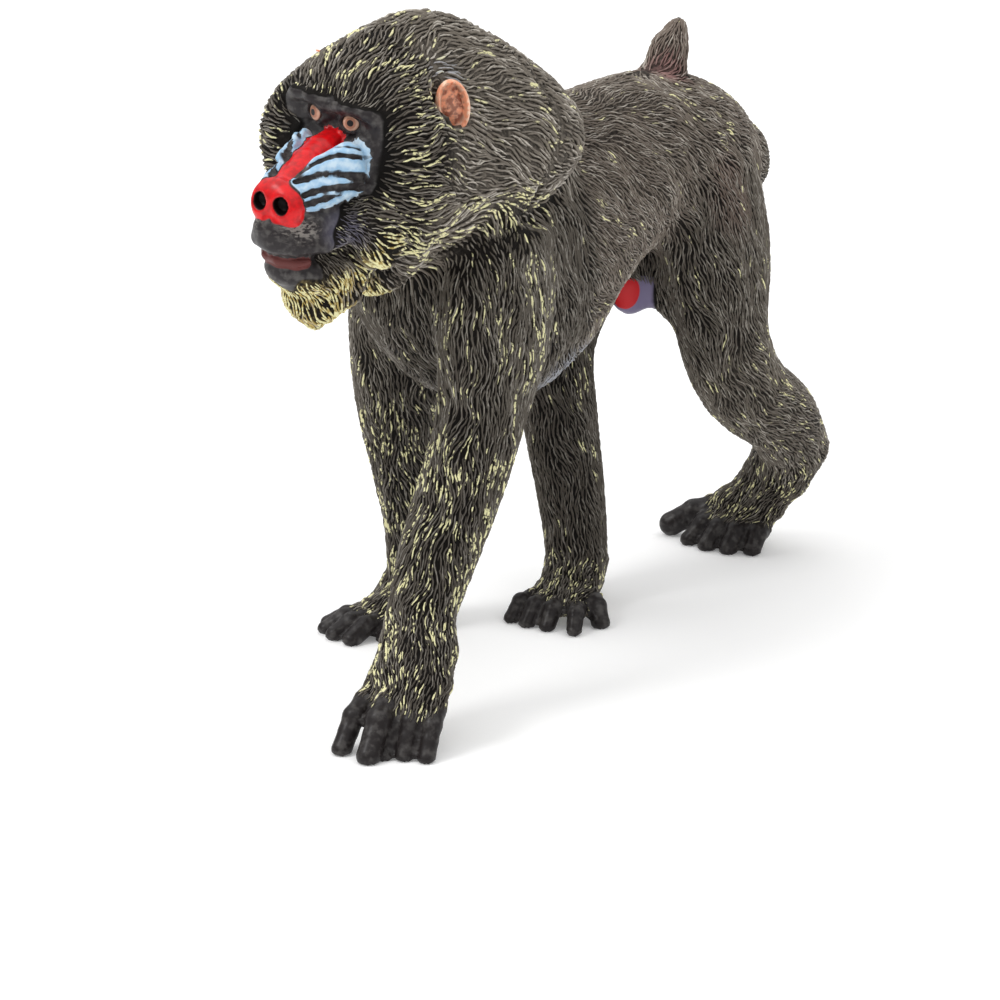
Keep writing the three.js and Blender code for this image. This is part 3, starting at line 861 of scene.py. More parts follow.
# %% Bare and furry skin
BARE_EDGE_Z = [49.0, 52.6, 54.0, 57.0, 61.0, 66.0, 69.0, 70.0]
BARE_EDGE_X = [-1.0, 2.6, 5.0, 5.6, 6.0, 6.3, 6.3, 6.0]
BARE_TOP_X = [0.0, 1.2, 2.9, 4.5, 6.0, 7.0]
BARE_TOP_Z = [69.9, 70.2, 70.6, 70.3, 69.7, 68.4]
BARE_BACK_Z = [52.0, 57.0, 59.8, 61.2, 63.0, 66.0, 68.8, 70.2]
BARE_BACK_Y = [-41.6, -41.2, -39.0, -36.0, -34.6, -33.2, -33.2, -35.2]
FUR_DEPTH = 0.3


def bare_face(p):
    """Millimetres inside the outline of the bare face, seen from the front."""
    half = np.interp(p[:, 2], BARE_EDGE_Z, BARE_EDGE_X, left=-3, right=-3)
    chin = np.where(p[:, 1] < -41.5, np.minimum(p[:, 2] - 52.5, 3.0), -3.0)
    inside = np.maximum(half - np.abs(p[:, 0]), chin)
    inside = np.minimum(inside, np.interp(p[:, 0], BARE_TOP_X, BARE_TOP_Z) - p[:, 2])
    return np.minimum(inside, np.interp(p[:, 2], BARE_BACK_Z, BARE_BACK_Y) - p[:, 1])


def near_point(p, centre, radii):
    """1 at a place and 0 from its edge outwards, for a soft-edged patch."""
    return ease(1.0, 0.35, np.linalg.norm((p - np.array(centre)) / np.array(radii), axis=1))


def folded(p):
    """Both sides of the body read as the left one."""
    m = p.copy()
    m[:, 0] = np.abs(m[:, 0])
    return m


LOIN_FUR_Z = 39.2             # above this the lump under the loins is furry


def bare_patches(p):
    """The pads of the rear, and the lower part of the lump under the loins."""
    pads = near_point(folded(p), (5.4, 45.6, 48.3), (4.5, 4.4, 4.7))
    return np.maximum(pads, ease(0.9, 0.5, lump(p, *LOIN_LUMP)) * (p[:, 2] < LOIN_FUR_Z))


def bare_zone(p, region):
    face = ease(-0.7, 0.45, bare_face(mirrored(p))) * (p[:, 1] < -30)
    return np.maximum.reduce([face, digit_zone(p, region), bare_patches(p)])


edges = read_edges(skin.data)
bare = relax(bare_zone(points, region)[:, None], edges, 2)[:, 0]
print("bare share of the points:", round(float((bare > 0.5).mean()), 3))

# %% [markdown]
# The mane lies over the shoulders like a cape, a seam runs down in front of each ear, and the
# thigh folds over the shank. These edges are creases in the skin. They are drawn as lines
# through places on the left side, and the distance from a line says how deep the crease is.

# %% Creases
CAPE_EDGE = [(4.6, -36.0, 50.0), (5.6, -31.0, 50.8), (6.8, -26.6, 51.6), (8.4, -23.1, 52.5),
             (9.9, -21.0, 53.0), (11.1, -17.0, 53.8), (10.6, -11.6, 54.0), (11.0, -11.4, 58.4),
             (10.9, -9.8, 60.6), (10.4, -7.6, 62.2), (9.4, -6.2, 63.9), (8.4, -6.3, 65.6),
             (7.0, -6.2, 67.2), (5.6, -6.6, 68.8), (4.0, -7.0, 70.3)]
EAR_SEAM = [(4.8, -25.6, 73.6), (6.7, -26.2, 71.7), (8.6, -27.4, 69.6), (10.3, -29.4, 67.8),
            (11.3, -31.0, 65.5), (11.5, -31.1, 63.4), (11.4, -30.2, 61.1), (11.1, -28.6, 59.1),
            (10.8, -26.3, 57.9)]
KNEE_FOLD = [(10.4, 37.6, 29.4), (12.4, 33.6, 28.9), (13.4, 30.0, 28.4), (13.4, 26.7, 26.7)]


def soft_crease(distance, width):
    """1 on the line of a crease, falling off to nothing within about twice its width."""
    return np.exp(-(distance / width) ** 2)


from_cape = from_line(folded(points), CAPE_EDGE)
from_seam = from_line(folded(points), EAR_SEAM)
from_knee = from_line(points, KNEE_FOLD)
crease = np.maximum.reduce([soft_crease(from_cape, 0.5), 0.7 * soft_crease(from_seam, 0.4),
                            0.6 * soft_crease(from_knee, 0.8)]) * (1 - bare)
print("points in a crease:", int((crease > 0.5).sum()))

# %% [markdown]
# Now every point is moved inwards by its own depth: the swell is taken back, and the depth of
# the coat, the creases, the step under the cape and a dip for each ear are added. The soles
# are pressed back up to the floor.

# %% Sinking the skin under its coat
EAR_CENTRES = {1: (9.4, -25.6, 68.5), -1: (-8.4, -25.0, 69.8)}    # set a little uneven
CREASE_DEPTH, STEP_DEPTH, EAR_DIP_DEPTH = 0.55, 0.5, 0.9
FINE_COAT = 0.6               # how much thinner the coat of the face is


def ear_hollow(p):
    """The dip in the mane from which each ear stands out."""
    dips = [near_point(p, (x, y - 0.9, z), (3.0, 3.4, 4.0)) for x, y, z in EAR_CENTRES.values()]
    return np.maximum(*dips)


below_cape = np.where(is_in(region, "mane", "face"), 0.0, 1.0)
fine_coat = np.where(is_in(region, *FACE_NODES), FINE_COAT, 0.0)
below_cape, fine_coat = relax(np.column_stack([below_cape, fine_coat]), edges, 3).T
sink = SWELL * (1 - on_clay) + FUR_DEPTH * (1 - bare) * (1 - fine_coat)
sink = sink + CREASE_DEPTH * crease + STEP_DEPTH * below_cape * ease(3.5, 0.8, from_cape)
sink = sink + EAR_DIP_DEPTH * ear_hollow(points)
points = points - read_normals(skin.data) * sink[:, None]
points[:, 2] = np.maximum(points[:, 2], 0)
write_points(skin.data, to_frame(points))
shade_smooth(skin.data)
print("deepest sink:", round(float(sink.max()), 2), "mm; triangles:",
      sum(len(polygon.vertices) - 2 for polygon in skin.data.polygons))

# %% [markdown]
# ## Paint maps
#
# The painter's areas are stored on the points as smooth distances, not as hard masks. A shader
# can cut a smooth distance at any level, so the edge of the paint stays sharper than the mesh.

# %% The paint of the bare face
def face_paint_maps(p):
    m = mirrored(p)
    form = face_forms(m, far_side(p))
    red = np.minimum(form["nose"], form["bridge"])
    dark = np.minimum.reduce([form[n] for n in ("brow", "lids", "muzzle", "jaw", "bed")])
    in_front = (p[:, 1] < -33) & (p[:, 2] > 50)
    off_clay = 2 * ease(0.5, 0.9, np.abs(face_value(p)))
    smooth_cheek = cheek_value(m)
    maps = {
        "red": np.minimum(smooth_cheek, dark) - red - off_clay,
        "blue": np.minimum(red, dark) - smooth_cheek - 0.1 - off_clay,
        "lip": np.minimum(form["muzzle"], form["jaw"] + 0.25) - form["lower_lip"] - off_clay,
        "nostril": 0.18 - bar(m, NOSTRIL),
        "groove": groove_value(m, far_side(p)),
        # the top of the muzzle, which gets pale scuffs and a painted highlight
        "scuff": near_point(m, (1.8, -43.6, 57.9), (3.8, 3.2, 2.2)),
    }
    table = [np.where(in_front, np.clip(v, -1, 1), -1.0) for v in maps.values()]
    return dict(zip(maps, relax(np.column_stack(table), edges, 2).T))


face_maps = face_paint_maps(points)
print("paint maps of the face:", sorted(face_maps))

# %% [markdown]
# The coat is noted region by region, as a painter would note it, and the notes are blurred
# over the mesh. Single places come on top: the golden fringe, a few pale scuffs, the pink at
# the root of the tail and the patches of the rear.

# %% The paint of the coat
# Tone, warmth and share of locks brushed yellow in each region
COAT_NOTES = {
    "mane_fan": (0.88, 0.15, 0.28), "mane_nape": (1.45, 0.1, 0.1), "beard": (0.9, 0.2, 0.1),
    "jaw": (1.0, 0.1, 0.25), "snout": (1.0, 0.0, 0.12), "cheek": (0.8, 0.0, 0.05),
    "face": (0.8, 0.0, 0.1), "nose": (1.0, 0.0, 0.0),
    "chest": (0.7, 0.1, 0.0), "belly": (1.25, 0.3, 0.03), "rump": (1.2, 0.3, 0.06),
    "tail": (1.25, 0.6, 0.02), "upper_arm": (0.82, 0.05, 0.14), "forearm": (0.64, 0.1, 0.3),
    "hand": (0.64, 0.1, 0.34), "thigh": (0.85, 0.1, 0.06), "shank": (1.15, 0.1, 0.08),
    # The right hind leg and foot, on the far side, are toned darker than the left: painted shade.
    "thigh_right": (0.6, 0.1, 0.03), "shank_right": (0.66, 0.1, 0.06),
    "foot_left": (0.8, 0.1, 0.2), "foot_right": (0.66, 0.05, 0.2),
    "rump_pad": (1.0, 0.0, 0.0), "groin": (0.8, 0.0, 0.0),
}


def by_region(table, region):
    """The rows of a table at every point, found by the start of its region's name."""
    rows = np.zeros((len(FLESH), 3))
    for start, row in table.items():
        for i, name in enumerate(FLESH):
            if name.startswith(start):
                rows[i] = row
    return rows[region]


# The golden fringe runs from the chin along the jaw and on along the lower edge of the mane
GOLD_LINE = [(0.5, -42.0, 50.6), (2.1, -40.7, 49.4), (3.9, -39.6, 51.4), (4.7, -37.2, 52.2),
             (5.2, -35.9, 52.8), (6.5, -36.2, 54.1), (7.6, -35.8, 55.2)]
FRINGE_LINE = [(7.6, -35.8, 55.2), (8.5, -33.6, 55.3), (8.9, -30.9, 55.2), (9.7, -28.2, 55.5),
               (10.1, -25.6, 55.9), (10.2, -22.4, 55.9), (10.4, -19.0, 56.0), (10.5, -14.9, 56.2),
               (10.0, -11.0, 55.2)]


def coat_paint_maps(p, region):
    tone, warm, brush = relax(by_region(COAT_NOTES, region), edges, 12).T
    m = folded(p)
    rim = ease(-2.6, -0.2, bare_face(mirrored(p))) * (p[:, 1] < -28) * ease(55, 58, p[:, 2])
    # Along the creases the tone is darkened: painted shade. Next to the bare face the fur is darker
    # and less brushed.
    tone = tone * (1 - 0.55 * crease) * (1 - 0.5 * rim)
    brush = brush * (1 - 0.8 * rim) * (1 - 0.9 * near_point(m, (10.5, -17.0, 63.5), (5, 9, 8)))
    tip = ease(52.6, 51.0, p[:, 2]) * ease(4.4, 3.4, m[:, 0]) * is_in(region, "beard", "jaw")
    gold = np.maximum(ease(1.6, 0.8, from_line(m, GOLD_LINE)), tip)
    brush = brush + 0.7 * gold + 0.4 * ease(3.0, 1.2, from_line(m, FRINGE_LINE))
    brush = brush + 0.12 * near_point(p, (0, 40, 60), (8, 9, 6))
    lavender = near_point(m, (5.0, -39.4, 56.8), (2.6, 3.6, 3.2))
    pale = near_point(m, (7.4, -24.5, 72.4), (2.4, 3.4, 2.0))
    pale = np.maximum(pale, 0.9 * near_point(m, (8, 1, 33), (5, 9, 5)))
    flank = near_point(m, (10.5, 28.5, 50), (5, 5, 8))
    pink = near_point(p, (1.2, 28.2, 61.8), (3.2, 3.0, 3.2))
    lilac = bare_patches(p)
    blush = near_point(p, (2.2, 19.0, 37.2), (3.2, 3.4, 4.2))
    return {"tone": tone, "warm": np.maximum(warm, 0.9 * flank), "brush": brush,
            "lavender": lavender, "pale": pale, "pink": pink, "lilac": lilac,
            "blush": blush, "gold": gold, "digit": digit_zone(p, region)}


skin_maps = coat_paint_maps(points, region)
for name, values in {**skin_maps, **face_maps, "bare": bare}.items():
    add_mask(skin.data, name, values)
print("paint maps of the coat:", sorted(skin_maps))

# %% [markdown]
# ## The lie of the coat
#
# Sculpted fur has a direction everywhere. It fans out from the face, runs down the chest and
# the limbs, and back along the trunk. Each region gets a plain direction, with a slow sway, and
# relaxing the directions over the mesh melts one into the next.

# %% The middle lines of the limbs
LIMB_LINES = {
    ("upper_arm_left", "forearm_left"): [(7.2, -13.5, 53), (8.8, -17, 43), (9.6, -20.8, 33),
                                         (9.6, -25, 25.2), (9.4, -28.8, 19), (9.4, -32.2, 12.6)],
    ("upper_arm_right", "forearm_right"): [(-7.2, -11.4, 51), (-8.6, -12, 41), (-9.8, -11, 31),
                                           (-10.4, -8, 22), (-10.8, -5.6, 13), (-11.2, -5.2, 6.5)],
    ("thigh_left", "shank_left"): [(5.6, 31, 51), (7.8, 30.4, 41), (10, 28.8, 31.5),
                                   (11, 32, 24.4), (11.8, 38.8, 19.4), (11.2, 43.8, 14.4)],
    ("thigh_right", "shank_right"): [(-5.6, 30, 50), (-7.4, 24, 40), (-7.4, 18, 30),
                                     (-5.2, 16.4, 21), (-3, 15.6, 12), (-1.2, 14.2, 5.4)],
    ("hand_left",): [(9.4, -32.2, 12.6), (11.7, -36.8, 7.4), (12.0, -44.0, 2.0)],
    ("hand_right",): [(-11.2, -5.2, 6.5), (-12.8, -9, 2.2), (-15.0, -15.0, 0.8)],
    ("foot_left",): [(11.2, 43.8, 14.4), (8.2, 45, 9.4), (4.0, 42.5, 3.6), (2.5, 38.5, 1.5)],
    ("foot_right",): [(-1.2, 14.2, 5.4), (1.4, 8, 2.6), (2.4, 1.5, 1.0)],
    ("tail",): [(0, 29.4, 58.6), (0, 31.4, 64.2), (0, 33.4, 68.2)],
}


def along_line(p, line):
    """The direction of the nearest stretch of a limb's middle line."""
    line = np.array(line, float)
    runs = np.diff(line, axis=0)
    best = np.full(len(p), np.inf)
    aim = np.zeros_like(p)
    for start, run in zip(line, runs):
        t = np.clip((p - start) @ run / (run @ run), 0, 1)[:, None]
        away = np.linalg.norm(p - start - run * t, axis=1)
        aim[away < best] = unit(run)
        best = np.minimum(best, away)
    return aim


print("middle lines:", len(LIMB_LINES))

# %% Directions by region
SWAY_ANGLE = 0.75             # radians either way
SWAY_STEP = 0.33              # noise steps per millimetre


def head_flow(p, region, side):
    """Out from the face over the mane, back along the nape, and down the beard."""
    flow = np.zeros_like(p)
    ahead = np.array([0.0, 1.0, 0.0])
    fan = unit(p - np.array([0, -36, 63])) + 0.25 * ahead
    from_ear = p - np.column_stack([8.7 * side, np.full((len(p), 2), (-25.0, 69.0))])
    crest = ease(5, 1, np.abs(p[:, 0]))[:, None]
    rear = ease(-16, -9, p[:, 1])[:, None]
    down = np.array([0, 0, -1.0]) * (1 - crest) * (0.22 + 0.5 * rear)
    nape = 0.4 * unit(from_ear) * (1 - crest) + ahead + down
    hem = ease(60.0, 57.5, p[:, 2])[:, None]
    nape = nape * (1 - hem) + ahead * hem
    fan = fan * (1 - hem) + (ahead + 0.3 * fan) * hem
    muzzle = unit(p - np.array([0, -47, 58])) + np.array([0, 0.3, -0.25])
    for starts, aim in ((("mane_fan",), fan), (("mane_nape",), nape), (FACE_NODES, muzzle)):
        flow = np.where(is_in(region, *starts)[:, None], aim, flow)
    beard = np.column_stack([0.25 * side, np.full((len(p), 2), (0.35, -1.0))])
    return np.where((is_in(region, "beard", "jaw") & (p[:, 2] < 54))[:, None], beard, flow)


def body_flow(p, region, side):
    """Back and down along the trunk, and down each limb."""
    flow = np.zeros_like(p)
    on_top = ease(56, 62, p[:, 2])[:, None]
    chest = np.column_stack([0.15 * side, np.full((len(p), 2), (0.3, -1.0))])
    flank = np.array([0.0, 0.7, -0.65]) * (1 - on_top) + np.array([0, 1.0, 0]) * on_top
    tail_foot = unit(p - np.array([0, 27, 63])) * 0.6
    rump = tail_foot + np.array([0.0, 1.0, -0.42]) * (1 - on_top) + np.array([0, 0.5, 0]) * on_top
    for start, aim in (("chest", chest * (1 - on_top) + [0, 1, -0.1] * on_top),
                       ("belly", flank), ("rump", rump), ("rump_pad", rump), ("groin", chest)):
        flow = np.where(is_in(region, start)[:, None], aim, flow)
    for names, line in LIMB_LINES.items():
        trail = 0.0 if "tail" in names else 0.22
        aim = along_line(p, line) + np.array([0.0, trail, 0.0])
        flow = np.where(is_in(region, *names)[:, None], aim, flow)
    return flow


def sway(p, size, step):
    """A slow, seeded turning of the lie, so that the fur looks wavy and not combed."""
    return np.array([noise.noise(Vector(q) * step) for q in p]) * size


points = to_mm(read_points(skin.data))
normals = read_normals(skin.data)
side = np.sign(points[:, 0])
flow = unit(head_flow(points, region, side) + body_flow(points, region, side))
flow = relax(flow, edges, 14)
flow = unit(flow - normals * (flow * normals).sum(axis=1, keepdims=True))
turn = sway(points, SWAY_ANGLE, SWAY_STEP)[:, None]
flow = unit(flow * np.cos(turn) + np.cross(normals, flow) * np.sin(turn))
print("lie of the coat:", len(flow), "directions, sway up to",
      round(float(np.degrees(np.abs(turn).max()))), "degrees")

# %% [markdown]
# ## Locks of fur
#
# Each lock is a thin, wavy wedge that lies along the body: a point at the root, four rings of
# three, and a point at the tip. It has 24 triangles, which is few enough to lay many
# thousands of them. Laying them one by one by hand is out of the question, so roots are thrown
# at random over the skin. A root is kept only if no other lies in a long oval around it, drawn
# along the lie: this leaves the even, dark furrows that the sculptor's tool cut between locks.

# %% The skin's triangles, its unwrap and the search tree
pick(skin)
bpy.ops.object.mode_set(mode="EDIT")
bpy.ops.mesh.select_all(action="SELECT")
bpy.ops.uv.smart_project(angle_limit=math.radians(66), island_margin=0.002)
bpy.ops.object.mode_set(mode="OBJECT")
skin.data.uv_layers[0].name = "unwrap"
skin.data.calc_loop_triangles()
triangles = np.empty(len(skin.data.loop_triangles) * 3, np.int32)
skin.data.loop_triangles.foreach_get("vertices", triangles)
triangles = triangles.reshape(-1, 3)
corners = np.empty(len(skin.data.loop_triangles) * 3, np.int32)
skin.data.loop_triangles.foreach_get("loops", corners)
unwrap = np.empty(len(skin.data.loops) * 2, np.float32)
skin.data.uv_layers[0].data.foreach_get("uv", unwrap)
corner_uv = unwrap.reshape(-1, 2)[corners].reshape(-1, 3, 2)
skin_tree = BVHTree.FromPolygons([Vector(p) for p in points], triangles.tolist())
print("skin triangles:", len(triangles))

# %% The size of a lock in each region
LOCK_SIZES = {                # length, half width and height, in millimetres
    "mane_fan": (2.3, 0.2, 0.32), "mane_nape": (3.4, 0.24, 0.36), "beard": (3.0, 0.2, 0.3),
    "jaw": (1.8, 0.15, 0.2), "snout": (1.1, 0.12, 0.13), "cheek": (1.2, 0.13, 0.14),
    "face": (1.5, 0.15, 0.2), "nose": (0.8, 0.12, 0.08),
    "chest": (2.6, 0.17, 0.28), "belly": (2.3, 0.14, 0.2), "rump": (2.2, 0.15, 0.24),
    "tail": (2.4, 0.17, 0.26), "upper_arm": (2.6, 0.17, 0.28), "forearm": (2.2, 0.16, 0.26),
    "hand": (1.6, 0.15, 0.22), "thigh": (2.3, 0.15, 0.22), "shank": (2.2, 0.15, 0.22),
    "foot": (1.5, 0.15, 0.2), "rump_pad": (1.4, 0.15, 0.16), "groin": (1.4, 0.15, 0.16),
}
sizes_on_skin = relax(by_region(LOCK_SIZES, region), edges, 8)
print("locks are", sizes_on_skin.min(axis=0).round(2), "to", sizes_on_skin.max(axis=0).round(2))

# %% Throwing the roots
rng = np.random.default_rng(7)
THROWN = 24                   # places tried per square millimetre
CELL = 1.7                    # millimetres; wider than the longest oval reaches
OVAL_ACROSS = 1.95            # the oval's half width, in half widths of the lock
OVAL_ALONG = 0.33             # and its half length, in lengths of the lock
CLOSED = 0.35                 # where the skin is this bare or creased, no root is kept
SPREADS = ((0.8, 1.25), (0.85, 1.2), (0.75, 1.25))    # of length, half width and height


def blended(values, chosen, weights):
    """The value of a point map at places inside triangles."""
    shape = (-1, 3) + (1,) * (values.ndim - 1)
    return (values[triangles[chosen]] * weights.reshape(shape)).sum(axis=1)


def scattered(count_per_area):
    """Random places on the skin: which triangle, and where in it."""
    a, b, c = (points[triangles[:, i]] for i in range(3))
    area = np.linalg.norm(np.cross(b - a, c - a), axis=1) / 2
    count = int(area.sum() * count_per_area)
    chosen = rng.choice(len(area), count, p=area / area.sum())
    u, v = rng.random((2, count))
    fold = u + v > 1
    u, v = np.where(fold, 1 - u, u), np.where(fold, 1 - v, v)
    return chosen, np.column_stack([1 - u - v, u, v])


def thinned(spots, lies, across, along):
    """Keeps a place only if the long oval around it holds none of those kept before."""
    cells = {}
    kept = []
    cubes = np.floor(spots / CELL).astype(int).tolist()
    around = [(i, j, k) for i in (-1, 0, 1) for j in (-1, 0, 1) for k in (-1, 0, 1)]
    rows = zip(spots.tolist(), lies.tolist(), across.tolist(), along.tolist(), cubes)
    for number, ((x, y, z), (fx, fy, fz), wide, long, (cx, cy, cz)) in enumerate(rows):
        near = [q for i, j, k in around for q in cells.get((cx + i, cy + j, cz + k), ())]
        for qx, qy, qz in near:
            dx, dy, dz = qx - x, qy - y, qz - z
            run = dx * fx + dy * fy + dz * fz
            aside = dx * dx + dy * dy + dz * dz - run * run
            if aside / (wide * wide) + run * run / (long * long) < 1:
                break
        else:
            cells.setdefault((cx, cy, cz), []).append((x, y, z))
            kept.append(number)
    return np.array(kept)


root_triangle, root_weights = scattered(THROWN)
closed = np.maximum(bare, np.maximum(0.5 * crease, 0.6 * ear_hollow(points)))
furry = blended(closed, root_triangle, root_weights) < CLOSED
root_triangle, root_weights = root_triangle[furry], root_weights[furry]
lock_size = blended(sizes_on_skin, root_triangle, root_weights)
kept = thinned(blended(points, root_triangle, root_weights),
               unit(blended(flow, root_triangle, root_weights)),
               lock_size[:, 1] * OVAL_ACROSS, lock_size[:, 0] * OVAL_ALONG)
print("thrown on fur:", len(root_triangle), "kept:", len(kept))
root_triangle, root_weights, lock_size = root_triangle[kept], root_weights[kept], lock_size[kept]

# %% [markdown]
# A lock stops at the edge of the cape and at the seam in front of the ear. It is smaller where
# the skin is half bare, and no two are quite the same size.

# %% Trimming the locks
roots = blended(points, root_triangle, root_weights)
to_edge = np.minimum(from_line(folded(roots), CAPE_EDGE), from_line(folded(roots), EAR_SEAM) + 0.5)
lock_size[:, 0] = np.minimum(lock_size[:, 0], 0.5 + 1.1 * to_edge)
root_bare = blended(bare, root_triangle, root_weights)
root_region = region[triangles[root_triangle, root_weights.argmax(axis=1)]]
lock_size = lock_size * (1 - 0.9 * root_bare)[:, None]
for column, (least, most) in enumerate(SPREADS):
    lock_size[:, column] *= rng.uniform(least, most, len(roots))
print("roots:", len(roots), "mean lock, mm:", lock_size.mean(axis=0).round(2))

# %% Walking each lock along the lie
SHARES = np.array([0.0, 0.2, 0.42, 0.65, 0.86, 1.0])


def walk(spots, lengths):
    """Six places down each lock, with the skin's normal and the lie at each."""
    path = np.zeros((len(spots), len(SHARES), 3))
    lie = np.zeros_like(path)
    out = np.zeros_like(path)
    at = root_triangle.copy()
    path[:, 0] = spots
    for k in range(len(SHARES)):
        lie[:, k] = unit(flow[triangles[at]].mean(axis=1))
        out[:, k] = unit(normals[triangles[at]].mean(axis=1))
        if k + 1 == len(SHARES):
            break
        step = lengths * (SHARES[k + 1] - SHARES[k])
        ahead = path[:, k] + lie[:, k] * step[:, None]
        found = [skin_tree.find_nearest(Vector(q)) for q in ahead]
        path[:, k + 1] = [hit[0] for hit in found]
        at = np.array([hit[2] for hit in found])
    return path, lie, out


path, lie, out = walk(roots, lock_size[:, 0])
across = unit(np.cross(lie, out))
print("walked", path.shape[0] * (path.shape[1] - 1), "steps")

# %% Giving the locks their body
LOCK_POINTS = 14              # the root, four rings of three, the tip
WIDTHS = np.array([0.0, 0.75, 1.0, 0.92, 0.55, 0.0])
HEIGHTS = np.array([-0.5, 0.55, 1.0, 0.95, 0.62, 0.2])
WEAVE = 0.11                  # millimetres to each side, in a lock of full length
FULL_LENGTH = 2.4
ROOTED = 0.05                 # how far a lock's edges are let into the skin
ABOVE_FLOOR = 0.02
phase = rng.uniform(0, 2 * np.pi, len(roots))
beat = rng.uniform(0.7, 1.3, len(roots))
weave = np.sin(phase[:, None] + 2 * np.pi * beat[:, None] * SHARES) * WEAVE
weave = weave * np.minimum(lock_size[:, 0] / FULL_LENGTH, 1)[:, None]
middle = path + across * weave[:, :, None]
half = lock_size[:, 1, None, None] * WIDTHS[None, :, None]
tall = lock_size[:, 2, None, None] * HEIGHTS[None, :, None]
left = middle - across * half - out * ROOTED
right = middle + across * half - out * ROOTED
lean = rng.uniform(-0.35, 0.35, len(roots))[:, None, None]
ridge = middle + out * tall + across * half * lean
lock_points = np.empty((len(roots), LOCK_POINTS, 3))
lock_points[:, 0] = ridge[:, 0]
for ring in range(4):
    for corner, line in enumerate((left, ridge, right)):
        lock_points[:, 1 + ring * 3 + corner] = line[:, ring + 1]
lock_points[:, -1] = ridge[:, -1]
lock_points[..., 2] = np.maximum(lock_points[..., 2], ABOVE_FLOOR)
print("points in all locks:", lock_points.shape[0] * LOCK_POINTS)

# %% The triangles between the points of a lock
def lock_triangles():
    faces = []
    for side_of_ring in range(3):
        a, b = 1 + side_of_ring, 1 + (side_of_ring + 1) % 3
        faces.append((0, a, b))
        for ring in range(3):
            low, high = ring * 3, ring * 3 + 3
            faces.append((a + low, a + high, b + high))
            faces.append((a + low, b + high, b + low))
        faces.append((a + 9, LOCK_POINTS - 1, b + 9))
    return np.array(faces)


def facing_out(faces, shape):
    """The triangles, turned over if the volume they enclose comes out negative."""
    a, b, c = (shape[faces[:, i]] for i in range(3))
    volume = (np.cross(b - a, c - a) * (a - shape.mean(axis=0))).sum()
    return faces[:, ::-1] if volume < 0 else faces


LOCK_FACES = facing_out(lock_triangles(), lock_points[0])
print("triangles in one lock:", len(LOCK_FACES))

# %% [markdown]
# The locks are joined into a few coat pieces, one for each part of the body, so that none of
# them is too heavy. Every lock carries the paint maps of the skin at its root, its own random
# number, and how high each point stands, which the brushwork needs.

# %% Building the coat pieces
COAT_PIECES = {
    "coat_ruff": ("mane_fan", "beard", "jaw", "snout", "cheek", "face", "nose"),
    "coat_nape": ("mane_nape",),
    "coat_chest": ("chest",),
    "coat_belly": ("belly",),
    "coat_rump": ("rump", "tail", "groin"),
    "coat_arm_left": ("upper_arm_left", "forearm_left", "hand_left"),
    "coat_arm_right": ("upper_arm_right", "forearm_right", "hand_right"),
    "coat_leg_left": ("thigh_left", "shank_left", "foot_left"),
    "coat_leg_right": ("thigh_right", "shank_right", "foot_right"),
}
RIDGE_HEIGHT = np.array([0.3] + [0.0, 1.0, 0.0] * 4 + [0.8])
ALONG = np.array([SHARES[0]] + [SHARES[k] for k in (1, 2, 3, 4) for _ in range(3)] + [1.0])
ACROSS = np.array([0.5] + [0.0, 0.5, 1.0] * 4 + [0.5])
PATCH_SIZE = 0.003            # the side of a lock's patch in the unwrap
LOCK_MAPS = ("tone", "warm", "brush", "lavender", "pale", "pink", "gold")


def coat_piece(name, chosen):
    """One mesh of the chosen locks, built from arrays because there are so many of them."""
    count = len(chosen)
    mesh = bpy.data.meshes.new(name)
    corners_of_piece = to_frame(lock_points[chosen].reshape(-1, 3))
    faces = (LOCK_FACES[None] + LOCK_POINTS * np.arange(count)[:, None, None]).reshape(-1, 3)
    mesh.vertices.add(len(corners_of_piece))
    mesh.loops.add(faces.size)
    mesh.polygons.add(len(faces))
    mesh.vertices.foreach_set("co", corners_of_piece.astype(np.float32).ravel())
    mesh.loops.foreach_set("vertex_index", faces.astype(np.int32).ravel())
    mesh.polygons.foreach_set("loop_start", np.arange(0, faces.size, 3, dtype=np.int32))
    mesh.update(calc_edges=True)
    shade_smooth(mesh)
    for map_name in LOCK_MAPS:
        at_root = blended(skin_maps[map_name], root_triangle[chosen], root_weights[chosen])
        add_mask(mesh, map_name, np.repeat(at_root, LOCK_POINTS))
    add_mask(mesh, "tuft", np.repeat(rng.random(count), LOCK_POINTS))
    add_mask(mesh, "ridge", np.tile(RIDGE_HEIGHT, count))
    root_uv = (corner_uv[root_triangle[chosen]] * root_weights[chosen][:, :, None]).sum(axis=1)
    patch = np.column_stack([ACROSS - 0.5, ALONG - 0.5]) * PATCH_SIZE
    uv = (root_uv[:, None] + patch[None]).reshape(-1, 2)[faces.ravel()]
    mesh.uv_layers.new(name="OFBake").data.foreach_set("uv", uv.astype(np.float32).ravel())
    return new_object(name, mesh)


coat = {}
for name, starts in COAT_PIECES.items():
    chosen = np.flatnonzero(is_in(root_region, *starts))
    coat[name] = coat_piece(name, chosen)
    print(name, len(chosen), "locks,", len(coat[name].data.polygons), "triangles")

# %% [markdown]
# ## Eyes
#
# The toy's eyes are painted balls behind real lids. A ball is added with its pole along the
# gaze, and a shallow pupil is pressed into it, as the sculptor's tool would. Its painted rings
# follow the distance from the gaze line, which is stored on the points.

# %% Two eyeballs
EYE_RADIUS = 1.33
PUPIL_ANGLE = math.radians(13)
PUPIL_DEPTH = 0.07


